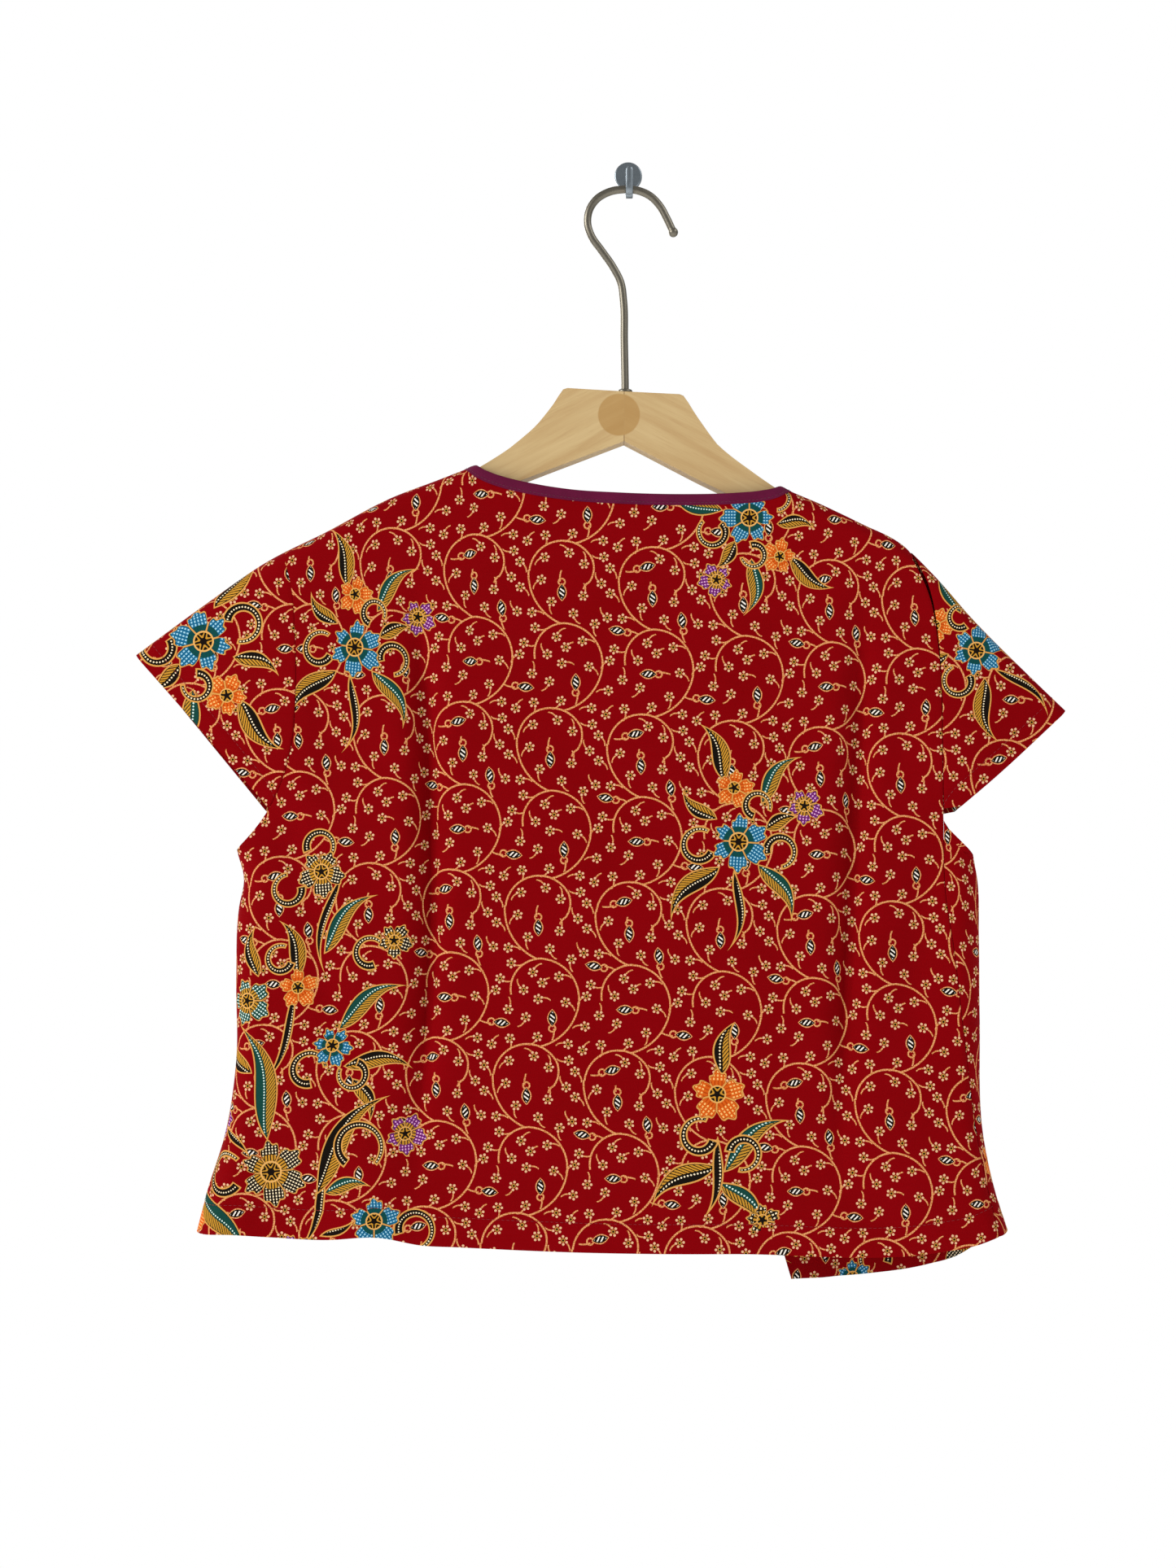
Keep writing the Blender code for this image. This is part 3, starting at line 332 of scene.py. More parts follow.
# Strokes: start, end, bow and half width
FLOWER_STEM = (0.5, 7.7, 1.2, 0.44)
POD_TAIL = (2.0, 12.8, -1.1, 0.48)
STROKE_DRAWN = (0.35, 0.65)     # middle and half of the drawn stretch, as shares of half a stroke
POD_LOOP_AT = 5.6       # small loop where the tail leaves a pod: distance, radius and half its line
POD_LOOP_RADIUS = 2.0
POD_LOOP_HALF = 0.5
POD_BACK = 0.8          # how far a pod's middle lies behind its place
POD_RIM = 0.75          # width of its gold rim, and depth from which its light strokes are drawn
STROKE_DEPTH = 1.55
STROKE_SLANT = 0.8      # slant of those strokes, and their pitch and how thin they are
STROKES = (2.7, 0.3)
FAR = 99.0              # a distance past all that is charted
GROUND = ("760003", "840008")
CLOUD_SCALE = 0.02      # clouds of the dye, and beads of wax along the vines, in cells for each mm
BEAD_SCALE = 0.9
BEAD_UNEVEN = 0.4
BEAD_SIZE = 0.42
VINE_GOLD = ("BC7038", "DE9E6A")
PETAL_COLOUR = "DCAE86"
FLOWER_MIDDLE = ((1.3, "B17F35"), (0.68, "1A0A08"))     # radius and colour of its ring and its eye
POD_DARK = "140B09"
POD_WHITE = "EEE6DA"

# Bouquets in mm from their middle, y down, drawn in this order, so that the last lies on top.
# Leaf: x, y, direction in degrees, half length, half width, bend. Hook: x, y, direction, radius, half width.
# Blossom: x, y, direction of a petal, radius, number of petals
SPRAY = [
    ("leaf", "green", 28.5, 25.5, 42, 20, 5.6, 6),
    ("leaf", "mustard", -28.5, 28.5, 142, 22, 6, -7),
    ("leaf", "green", 19, -42, -66, 19, 5.4, 6),
    ("leaf", "mustard", -15, -55, -106, 19, 5.8, -5),
    ("leaf", "mustard", -27, -18, -155, 14, 4.6, 4),
    ("leaf", "stem", 4, 41, 80, 25, 3, 6),
    ("leaf", "black", 25, -15, -32, 11, 4.8, 2),
    ("blossom", "purple", 40, -25, 20, 13, 5),
    ("blossom", "orange", -5, -33, 60, 13.5, 5),
    ("hook", "stem", -24, 4, 160, 9.5, 2.4),
    ("hook", "stem", 26, 4, -60, 9, 2.4),
    ("hook", "stem", 10, -23, -120, 7.5, 2.2),
    ("blossom", "blue", 0, 0, 30, 20, 6),
]
SPRIG = [
    ("leaf", "green", 15, 4, -56, 22, 5.4, 6),
    ("leaf", "mustard", -19, 27, 155, 20, 5.4, -6),
    ("leaf", "green", 17, 36, 30, 17, 5, 5),
    ("leaf", "stem", 1, 26, 86, 22, 2.9, 4),
    ("leaf", "black", -4, -43, -92, 15, 4.8, 4),
    ("hook", "stem", 13, 12, -40, 8, 2.2),
    ("hook", "stem", -11, 5, 150, 8.5, 2.3),
    ("blossom", "black", 27, 46, 40, 10.5, 5),
    ("blossom", "orange", -4, -18, 50, 16, 5),
]
BORDER = [
    ("hook", "stem", -9, -133, -70, 9, 2.3),
    ("leaf", "stem", -2, -86, 104, 32, 2.8, -7),
    ("leaf", "green", 10, -88, -64, 25, 5.6, 7),
    ("leaf", "mustard", -17, -68, -104, 19, 5.4, -5),
    ("leaf", "mustard", -47, -62, -112, 16, 4.8, 5),
    ("hook", "stem", 30, -68, 200, 9, 2.3),
    ("blossom", "black", 45, -77, 15, 12.5, 5),
    ("hook", "stem", -26, -104, 120, 9, 2.3),
    ("blossom", "black", -6, -117, 80, 17, 5),
    ("leaf", "stem", -17, -10, 95, 34, 2.8, 6),
    ("leaf", "green", -26, 17, -102, 38, 7.2, -10),
    ("leaf", "mustard", -54, 6, 205, 20, 6, 7),
    ("leaf", "green", 30, -38, -50, 25, 6, 7),
    ("leaf", "mustard", 43, -2, -14, 22, 5.4, 6),
    ("leaf", "black", 40, 22, 48, 15, 5, 5),
    ("hook", "stem", 0, 8, -150, 10, 2.5),
    ("hook", "stem", 29, 9, 60, 8.5, 2.3),
    ("blossom", "green", -46, -32, 30, 17, 5),
    ("hook", "stem", -27, -60, 150, 8, 2.3),
    ("blossom", "orange", -14, -43, 45, 14, 5),
    ("blossom", "blue", 13, -8, 65, 14.5, 6),
    ("leaf", "stem", 16, 96, 96, 28, 3, 5),
    ("leaf", "mustard", 25, 50, -70, 38, 7.2, 10),
    ("leaf", "green", -48, 106, 30, 34, 7.4, 9),
    ("leaf", "mustard", -30, 122, 12, 24, 5.6, 6),
    ("leaf", "green", 32, 78, -24, 15, 4.8, 4),
    ("hook", "stem", 38, 54, -100, 14, 2.5),
    ("hook", "stem", 78, 104, -60, 11, 2.5),
    ("hook", "stem", -46, 78, 170, 12, 2.5),
    ("leaf", "stem", -41, 56, 28, 14, 2.6, 2),
    ("leaf", "stem", 30, 108, -22, 13, 2.6, -3),
    ("blossom", "purple", 67, 44, 10, 15, 5),
    ("blossom", "purple", -60, 44, 75, 15, 5),
    ("blossom", "black", -16, 74, 20, 23, 6),
    ("blossom", "blue", 52, 100, 50, 18, 5),
    ("blossom", "orange", -74, 110, 0, 16, 5),
    ("blossom", "purple", 2, 123, 30, 13.5, 5),
]
# Print colours of each kind of motif: main colour, colour near its base, colour of ribs, of dots and dashes
KINDS = {
    "mustard": ("15100C", "C48C2E", "15100C", "EFE0BE"),
    "green": ("15423A", "BE8A2E", "101412", "CFE6DC"),
    "black": ("17100C", "C48C2E", "17100C", "EFDDB6"),
    "stem": ("17100C", "17100C", "17100C", "EFDDB6"),
    "blue": ("165F84", "0F4741", "0F3F45", "98C8DA"),
    "orange": ("CE5A16", "CE5A16", "B2420E", "EFB86C"),
    "purple": ("661C68", "C48C2E", "2A0E20", "D8A2CC"),
}
LEAF_CURL = 0.8         # how much more a leaf bends at its tip than at its foot
LEAF_TAPER = 0.4
HOOK_REACH = 2.45       # half the angle in radians that a curled stem runs round
HOOK_SPREAD = 0.04      # how it widens for each radian, as a share of its radius, and how it thins
HOOK_TAPER = 0.14
PETAL_LONG = 0.33       # as shares of a blossom's radius: petals, their foot and their ruffles
PETAL_FOOT = 0.56
RUFFLE_DEPTH = 0.055
PETAL_LONGER = 0.1      # by how much the petal in its direction is longer
RUFFLES = 6.0           # ruffles of half a petal, and their turn in radians
RUFFLE_TURN = 0.7
DOT_ROW = 1.15          # distance in mm of the row of dots from the middle of a leaf
DOT_PITCH = 1.8         # distance between the dots, and their radius
DOT_RADIUS = 0.5
RIBS_FROM = 0.3         # distance of the ribbed half from a leaf's middle
RIB_SLANT = 1.3
RIBS = (2.3, 0.45)      # pitch of a leaf's ribs and of a petal's foot, and how thin they are
FOOT_RIBS = (1.9, 0.4)
FOOT_SHARE = 0.47       # shares of a blossom's radius that a petal's foot and the cup take up
CUP_SHARE = 0.3
CUP_RIM = 0.25
CUP_EYE = 0.1
CUP_RIBS = 1.1          # pitch in mm
CUP_GOLD = "C08A2E"
CUP_DARK = "17100C"
CUP_PALE = "DBA55C"
OUTLINE = 0.9           # width in mm of the gold line round each motif, and of the dark line in it
INNER_LINE = 0.4
MOTIF_GOLD = "D0964A"
DASH_ROWS = 2.0         # pitch in mm of the rows of dashes on a petal, and of the dashes along a row;
DASH_PITCH = 1.9        # on the cloth they are 1.5 mm apart, and drawn coarser so that they show
DASH_ROW_LEVEL = 0.2    # how thin the rows and the dashes are
DASH_LEVEL = -0.3
# Bouquets on the cloth: name, kind, piece, middle of the print in mm, turn in degrees, scale, mirrored, reach
BOUQUETS = [
    ("shoulder", "SPRAY", "back", (-178, 304), 8, 0.98, 1, 82),
    ("nape", "SPRAY", "back", (74, 224), 150, 0.92, 1, 78),
    ("middle", "SPRAY", "back", (67, 424), 4, 1, 1, 84),
    ("hem", "SPRIG", "back", (56, 600), 6, 1.15, 1, 66),
    ("side", "BORDER", "back", (-201, 556), 4, 0.97, 1, 150),
    ("left_cap", "SPRAY", "left sleeve", (-264, 300), 165, 1.1, 1, 90),
    ("right_cap", "SPRAY", "right sleeve", (214, 306), -50, 0.9, 1, 74),
    ("chest", "SPRAY", "over", (70, 400), 12, 1, 1, 84),
    ("front_side", "BORDER", "over", (176, 560), -6, 0.97, -1, 150),
    ("front_hem", "SPRIG", "over", (-40, 600), -8, 1.15, 1, 66),
    ("wrap_hem", "BORDER", "under", (-40, 690), 90, 0.9, 1, 140),
    ("wrap_chest", "SPRIG", "under", (-60, 360), 10, 1, 1, 60),
]

# Woven and sewn: threads are 0.35 mm apart on the real cotton, and drawn 0.9 mm apart so that they show
THREAD_PITCH = 0.9
SLUB_STRETCH = (0.05, 0.9, 1.0)         # thicker stretches of thread, in cells for each mm
BIAS_THREADS = 7000.0   # radians of weave for each metre of the binding, which is 0.9 mm a thread
THREAD_SHINE = 1.6      # how much lighter sewing thread is where it catches the light
# Beech: share of the ring pattern and colour of its darker and lighter wood
BEECH = ((0.25, "B49260"), (0.75, "CAB07E"))
ARM_APART = 60.0        # distance in mm between the grain patterns of the two arms, and the arms' slope
ARM_SLOPE = 27.0
GRAIN_STRETCH = (0.012, 0.14, 0.16)     # cells for each mm along an arm, through it and across it
FLECK_STRETCH = (5.0, 8.0, 9.0)         # how much finer the flecks are
JOINT_HALF = 0.28
DISC_STAIN = ("A47B42", "B6935A")
DISC_BLUR = 0.4
DISC_DEPTH = 0.5

# Studio: floor's corners in mm, light of the air, and soft lights in metres: name, place, size, watts, colour
STUDIO_FLOOR = ((-6000.0, -6000.0, -1500.0), (6000.0, 1400.0, -1500.0))
AIR_LIGHT = 0.42
LIGHTS_AIM = (0.0, 0.0, -0.4)
DAYLIGHT = (1.0, 0.985, 0.96)
STUDIO_LIGHTS = [
    ("window_light", (-2.5, -1.3, 0.7), 1.4, 66.0, DAYLIGHT),
    ("fill_light", (1.9, -2.2, 0.1), 1.8, 5.0, (1.0, 1.0, 1.0)),
    ("ceiling_light", (1.6, -0.8, 1.2), 1.2, 15.0, (1.0, 1.0, 1.0)),
    ("back_light", (-1.4, 2.6, 0.5), 2.0, 60.0, DAYLIGHT),
]


def put_in_scene(name, data):
    """A new object in the scene that shows a mesh, light or camera."""
    placed = bpy.data.objects.new(name, data)
    bpy.context.scene.collection.objects.link(placed)
    return placed


def set_camera():
    """Camera straight in front of the garment's back, at chest height."""
    seen = bpy.data.cameras.new("photo_camera")
    seen.lens = CAMERA_LENS
    seen.sensor_width = CAMERA_SENSOR
    seen.sensor_fit = "AUTO"
    placed = put_in_scene("photo_camera", seen)
    placed.location = CAMERA_AT
    placed.rotation_euler = (math.radians(90.0), 0.0, 0.0)
    bpy.context.scene.camera = placed


def smooth_step(value):
    """Ease from 0 to 1 while the value goes from 0 to 1."""
    value = np.clip(value, 0.0, 1.0)
    return value * value * (3.0 - 2.0 * value)


def unit(vectors):
    """The same directions at length 1."""
    return vectors / np.linalg.norm(vectors, axis=-1, keepdims=True)


def curve(rows, position, column=1):
    """Read a smooth curve through the table's rows; past its ends the value stays as it is."""
    known = np.array([row[0] for row in rows], dtype=float)
    value = np.array([row[column] for row in rows], dtype=float)
    slope = np.gradient(value, known) if len(rows) > 2 else np.full(2, np.diff(value) / np.diff(known))
    position = np.clip(np.asarray(position, dtype=float), known[0], known[-1])
    cell = np.clip(np.searchsorted(known, position, side="right") - 1, 0, len(rows) - 2)
    span = known[cell + 1] - known[cell]
    part = (position - known[cell]) / span
    return ((2 * part ** 3 - 3 * part ** 2 + 1) * value[cell]
            + (part ** 3 - 2 * part ** 2 + part) * span * slope[cell]
            + (3 * part ** 2 - 2 * part ** 3) * value[cell + 1]
            + (part ** 3 - part ** 2) * span * slope[cell + 1])


def along(rows, steps):
    """Points at the given fractions of a curve through the rows, all columns."""
    rows = np.array(rows, dtype=float)
    length = np.concatenate([[0.0], np.cumsum(np.linalg.norm(np.diff(rows[:, :2], axis=0), axis=1))])
    table = np.column_stack([length / length[-1], rows])
    return np.column_stack([curve(table, steps, column) for column in range(1, table.shape[1])])


def side_x(rows, underarm, outward, drop):
    """The side fold's x; above the underarm it runs outwards, so that the armhole opens."""
    above = np.maximum(underarm - drop, 0.0)
    return curve(rows, drop) + outward * UNDERARM_FLARE * above


def roundness(x, drop):
    """Squared share of the full half depth: 0 on the shoulder and side folds, 1 on the flat."""
    below = (drop - curve(RIDGE, x)) * SHOULDER_COS
    from_left = x - side_x(SIDE_LEFT, UNDERARM_LEFT, -1.0, drop)
    from_right = side_x(SIDE_RIGHT, UNDERARM_RIGHT, 1.0, drop) - x
    share = 1.0
    for distance, reach in ((below, SHOULDER_ROUND), (from_left, SIDE_ROUND), (from_right, SIDE_ROUND)):
        share = share * (1.0 - np.maximum(1.0 - distance / reach, 0.0) ** 2)
    return share


def half_depth(x, drop):
    """Half depth of the garment, less along the sleeves."""
    outside = (np.abs(x) - SLEEVE_FROM) / SLEEVE_RUN
    flatten = smooth_step(outside) * smooth_step((UNDERARM_LEFT - drop) / SLEEVE_END)
    return curve(HALF_DEPTH, drop) * (1.0 - SLEEVE_FLATTEN * flatten)


def fold_depth(folds, x, drop):
    """How far the long folds push the cloth in, with a low swell on both sides of each."""
    total = np.zeros(np.broadcast(x, drop).shape)
    for start, end, x_start, x_middle, x_end, depth, width in folds:
        part = (drop - start) / (end - start)
        centre = curve([(0.0, x_start), (0.5, x_middle), (1.0, x_end)], part)
        share = (x - centre) / width
        shape = np.exp(-share ** 2 / 2.0) - FOLD_SWELL * np.exp(-share ** 2 / FOLD_SWELL_WIDTH)
        total += depth * shape * smooth_step(part / FOLD_START) * smooth_step((1.0 - part) / FOLD_END)
    return total


def tuck_depth(x, drop):
    """How far the under front is drawn in where the over front covers it."""
    below = (drop - curve(RIDGE, x) - TUCK_TOP) / TUCK_FALL
    return TUCK * smooth_step((TUCK_EDGE - x) / TUCK_SLOPE + 0.5) * smooth_step(below)


def inset(face, under, x, drop):
    """Distance that folds and the tuck take off the half depth."""
    if face < 0:
        return fold_depth(FOLDS_BACK, x, drop)
    moved = fold_depth(FOLDS_FRONT, x, drop)
    return moved + tuck_depth(x, drop) if under else moved


def level(face, under, x, y, drop):
    """Zero on the garment's outer surface, rising outwards."""
    share = (face * (y - MID_Y) + inset(face, under, x, drop)) / half_depth(x, drop)
    return share * share - roundness(x, drop)


def lift(face, x, drop, under=False):
    """Put flat points (x, drop) on the garment's surface: points and outward normals."""
    x = np.asarray(x, dtype=float)
    drop = np.asarray(drop, dtype=float)
    share = np.sqrt(np.clip(roundness(x, drop), 0.0, 1.0))
    y = MID_Y + face * (half_depth(x, drop) * share - inset(face, under, x, drop))
    step = 0.05
    slope = [
        level(face, under, x + step, y, drop) - level(face, under, x - step, y, drop),
        level(face, under, x, y + step, drop) - level(face, under, x, y - step, drop),
        level(face, under, x, y, drop - step) - level(face, under, x, y, drop + step),
    ]
    return np.stack([x, y, -drop], axis=-1), unit(np.stack(slope, axis=-1))


def keep_to_face(points, face):
    """Hold a panel on its own side of the middle plane, half a seam gap away."""
    limit = MID_Y + face * SEAM_GAP / 2.0
    points[..., 1] = np.maximum(points[..., 1], limit) if face > 0 else np.minimum(points[..., 1], limit)
    return points


def read_knots(knots, drop):
    """The knot lines' x at one height."""
    return [float(knot(drop)) for knot in knots]


def line(rows, shift=0.0):
    """A seam or edge line as a function: its x by drop, moved sideways."""
    return lambda drop: curve(rows, drop) + shift


def body_edge(armhole, side, underarm):
    """The armhole line above the underarm and the side fold below it."""
    return lambda drop: np.where(drop < underarm, curve(armhole, drop), curve(side, drop))


def quarter(reach, count=9):
    """Distances from a fold at even angles round its quarter circle, without the flat's start."""
    return [reach * (1.0 - math.cos(math.pi / 2.0 * step / count)) for step in range(count)]


def even(start, stop, step):
    """Evenly spaced places from start to stop."""
    return list(np.linspace(start, stop, max(2, round((stop - start) / step) + 1)))


def thinned(places, least):
    """Sorted places without those that come closer than the least distance to the one before."""
    places = sorted(places)
    kept = [places[0]]
    for place in places[1:-1]:
        if place - kept[-1] > least and places[-1] - place > least:
            kept.append(place)
    return kept + [places[-1]]


def panel_columns(knots, fractions, left_fold, right_fold):
    """Column shares of a panel: fine round a side fold, at a cut edge and along the neck's ends."""
    chest = read_knots(knots, CHEST_DROP)
    left, right = chest[0], chest[-1]
    start = quarter(SIDE_ROUND) if left_fold else EDGE_PLACES
    stop = quarter(SIDE_ROUND) if right_fold else EDGE_PLACES
    places = [left + distance for distance in start]
    places += even(places[-1] + MESH_STEP / 2.0, right - stop[-1] - MESH_STEP / 2.0, MESH_STEP)
    places += [right - distance for distance in reversed(stop)]
    columns = [float(np.interp(place, chest, fractions)) for place in places]
    neck = read_knots(knots, NECK_DROP)
    for place in [place for start, stop in NECK_ENDS for place in even(start, stop, NECK_STEP)]:
        if neck[0] + 1.0 < place < neck[-1] - 1.0:
            columns.append(float(np.interp(place, neck, fractions)))
    return thinned(columns, LEAST_COLUMN / (right - left))


def panel_rows():
    """Height shares of a panel from the hem: fine at the hem's edge, its stitching and the shoulder."""
    stitched = [HEM_FOLD + distance for distance in STITCH_PLACES]
    flat_top = PANEL_HEIGHT - SHOULDER_ROUND / SHOULDER_COS
    heights = EDGE_PLACES + even(5.0, stitched[0] - 2.0, MESH_STEP) + stitched
    heights += even(stitched[-1] + 2.0, flat_top, MESH_STEP)
    heights += [PANEL_HEIGHT - distance / SHOULDER_COS for distance in reversed(quarter(SHOULDER_ROUND, 8))]
    return [height / PANEL_HEIGHT for height in heights]


def panel_net(knots, fractions, columns, rows, hem, top):
    """Flat points of a panel and each column's hem: columns keep their share at every height."""
    def x_at(drops):
        return np.array([np.interp(part, fractions, read_knots(knots, drop))
                         for part, drop in zip(columns, drops)])
    low = np.full(len(columns), PANEL_HEM)
    high = np.full(len(columns), PANEL_TOP)
    for _ in range(6):
        low = hem(x_at(low))
        high = top(x_at(high))
    drops = [low + (high - low) * row for row in rows]
    return np.array([x_at(drop) for drop in drops]), np.array(drops)


def neck_seam(band, x):
    """Drop of a panel's neck edge, a seam gap below its band."""
    slope = (curve(band, x + 0.2) - curve(band, x - 0.2)) / 0.4
    return curve(band, x) + SEAM_GAP * np.sqrt(1.0 + slope * slope)


def top_line(band):
    """Upper edge of a panel: the shoulder fold, and the neck seam between its ends."""
    half = SEAM_GAP / 2.0
    return lambda x: np.where((x > NECK_LEFT - half) & (x < NECK_RIGHT + half),
                              neck_seam(band, x), curve(RIDGE, x))


def pucker(place):
    """Uneven ripple that a row of stitches draws into the cloth, from about -1 to 1."""
    ripple = sum(weight * np.sin(place / length + shift) for length, shift, weight in PUCKER_WAVES)
    return ripple / sum(weight for _, _, weight in PUCKER_WAVES)


def near(distance, reach):
    """1 on a line and fading to 0 away from it."""
    return np.exp(-(distance / reach) ** 2)


def drawn_in(place, distance, ripple, groove):
    """Height in mm beside a row of stitches: uneven puckers along it, and the groove that they press."""
    return ripple[0] * pucker(place) * near(distance, ripple[1]) - groove[0] * near(distance, groove[1])


def panel_relief(face, x, drop, seams):
    """Height in mm of what lies on a panel's surface: creases, hem stitching, seams and neck edge."""
    height = -fold_depth(CREASES_BACK if face < 0 else CREASES_FRONT, x, drop)
    height += drawn_in(x, drop[0] - drop - HEM_FOLD, HEM_PUCKER, HEM_GROOVE)
    neck = (x > NECK_LEFT) & (x < NECK_RIGHT)
    height += neck * (NECK_PUCKER[0] * pucker(x) * near(drop - drop[-1], NECK_PUCKER[1]))
    for column in seams:
        height += drawn_in(drop, np.abs(x - x[:, column][:, None]), SEAM_PUCKER, SEAM_GROOVE)
    return height


def print_drop(x, drop):
    """The print's own length down the cloth, which runs on over the shoulder fold, and the fold's place."""
    angle = np.linspace(0.0, math.pi / 2.0, 60)
    stretch = np.sqrt((SHOULDER_ROUND * np.cos(angle)) ** 2 + (HALF_DEPTH[1][1] * np.sin(angle)) ** 2)
    length = np.concatenate([[0.0], np.cumsum((stretch[1:] + stretch[:-1]) / 2.0 * np.diff(angle))])
    rise = SHOULDER_ROUND * np.sin(angle)
    flat = curve(RIDGE, x) + SHOULDER_ROUND / SHOULDER_COS
    up = np.clip((flat - drop) * SHOULDER_COS, 0.0, SHOULDER_ROUND)
    return np.where(drop > flat, drop, flat - np.interp(up, rise, length)), flat - length[-1]


def row_lengths(points, zero_x=0.0):
    """Length along each row of points, from the place where it passes x = 0."""
    steps = np.linalg.norm(np.diff(points, axis=1), axis=-1)
    steps = np.nan_to_num(steps)
    length = np.concatenate([np.zeros((len(points), 1)), np.cumsum(steps, axis=1)], axis=1)
    zero = [np.interp(zero_x, points[row, :count, 0], length[row, :count])
            for row, count in enumerate(np.sum(~np.isnan(points[..., 0]), axis=1))]
    return length - np.array(zero)[:, None]


def make_object(name, vertices, faces, looks, smooth=True):
    """One named mesh object from points in millimetres."""
    mesh = bpy.data.meshes.new(name)
    mesh.from_pydata((np.array(vertices, dtype=float) * MM).tolist(), [], faces)
    shape = bmesh.new()
    shape.from_mesh(mesh)
    bmesh.ops.recalc_face_normals(shape, faces=shape.faces)
    shape.to_mesh(mesh)
    shape.free()
    for look in looks:
        mesh.materials.append(look)
    if smooth:
        mesh.shade_smooth()
        mesh.set_sharp_from_angle(angle=math.radians(SHARP_EDGE))
    return put_in_scene(name, mesh)


def cloth_object(name, outer, inner, print_at, looks, choose):
    """Closed cloth from an outer and an inner grid of points, with the print's own map in metres."""
    rows, columns = outer.shape[:2]
    present = ~np.isnan(outer[..., 0])
    number = np.full(rows * columns, -1)
    used = np.flatnonzero(present.ravel())
    number[used] = np.arange(len(used))
    number = number.reshape(rows, columns)
    corners = [number[:-1, :-1], number[:-1, 1:], number[1:, 1:], number[1:, :-1]]
    quads = np.stack(corners, axis=-1).reshape(-1, 4)
    quads = quads[(quads >= 0).all(axis=1)]
    count = len(used)
    edges = np.concatenate([quads[:, [0, 1]], quads[:, [1, 2]], quads[:, [2, 3]], quads[:, [3, 0]]])
    known = {(int(start), int(end)) for start, end in edges}
    rim = [[end, start, start + count, end + count] for start, end in known if (end, start) not in known]
    rim.sort()
    faces = quads.tolist() + (quads[:, ::-1] + count).tolist() + rim
    vertices = np.concatenate([outer.reshape(-1, 3)[used], inner.reshape(-1, 3)[used]])
    placed = make_object(name, vertices, faces, looks)
    flat = print_at.reshape(-1, 2)[used]
    flat = np.concatenate([flat, flat]) * MM
    mesh = placed.data
    layer = mesh.uv_layers.new(name="print")
    order = np.zeros(len(mesh.loops), dtype=np.int32)
    mesh.loops.foreach_get("vertex_index", order)
    layer.data.foreach_set("uv", flat[order].astype(np.float32).ravel())
    middles = np.array([flat[list(polygon.vertices)].mean(axis=0) for polygon in mesh.polygons])
    mesh.polygons.foreach_set("material_index", choose(middles / MM))
    return placed


def turned(distance, fold):
    """Extra thickness inside an edge, where the cloth is turned back on itself."""
    return TURNED_EXTRA * smooth_step((fold + TURNED_EASE - distance) / TURNED_EASE)


def panel_object(name, face, net, looks, choose):
    """Cloth of a panel that stays on one face."""
    x, drop = net
    points, normals = lift(face, x, drop)
    points = points + normals * panel_relief(face, x, drop, [-1])[..., None]
    outer = keep_to_face(points.copy(), face)
    thick = CLOTH + turned(drop[0] - drop, HEM_FOLD)
    inner = keep_to_face(points - normals * thick[..., None], face)
    print_at = np.stack([-face * row_lengths(outer), print_drop(x, drop)[0]], axis=-1)
    return cloth_object(name, outer, inner, print_at, looks, choose), (outer, normals)


def back_net():
    """Back panel, one piece from the left side fold to the right side seam."""
    valleys = [[(fold[0], fold[2]), ((fold[0] + fold[1]) / 2.0, fold[3]), (fold[1], fold[4])]
               for fold in FOLDS_BACK[:2]]
    knots = [body_edge(ARMHOLE_LEFT, SIDE_LEFT, UNDERARM_LEFT), line(valleys[0]), line(valleys[1]),
             line(BACK_EDGE_RIGHT, -SEAM_GAP / 2.0)]
    columns = panel_columns(knots, BACK_SHARES, True, False)
    return panel_net(knots, BACK_SHARES, columns, panel_rows(), lambda x: curve(HEM_BACK, x),
                     top_line(BAND_BACK))


def front_over_net():
    """Wide front, from the left side fold over the middle to its free edge on the right."""
    knots = [body_edge(ARMHOLE_LEFT, SIDE_LEFT, UNDERARM_LEFT), line(EDGE_OVER)]
    columns = panel_columns(knots, [0.0, 1.0], True, False)
    return panel_net(knots, [0.0, 1.0], columns, panel_rows(), lambda x: curve(HEM_OVER, x),
                     top_line(BAND_OVER))


def front_under_net():
    """Narrow front from its free edge to the right side fold."""
    knots = [line(EDGE_UNDER), body_edge(ARMHOLE_RIGHT, SIDE_RIGHT, UNDERARM_RIGHT)]
    columns = panel_columns(knots, [0.0, 1.0], False, True)
    hem = HEM_UNDER[-1][1]
    height = hem - ARMHOLE_RIGHT[0][0]
    underarm = (hem - UNDERARM_RIGHT) / height
    rows = thinned(panel_rows() + [underarm], LEAST_ROW / PANEL_HEIGHT)
    closest = min(range(len(rows)), key=lambda place: abs(rows[place] - underarm))
    rows[closest] = underarm
    return panel_net(knots, [0.0, 1.0], columns, rows, lambda x: curve(HEM_UNDER, x),
                     top_line(BAND_UNDER)), closest


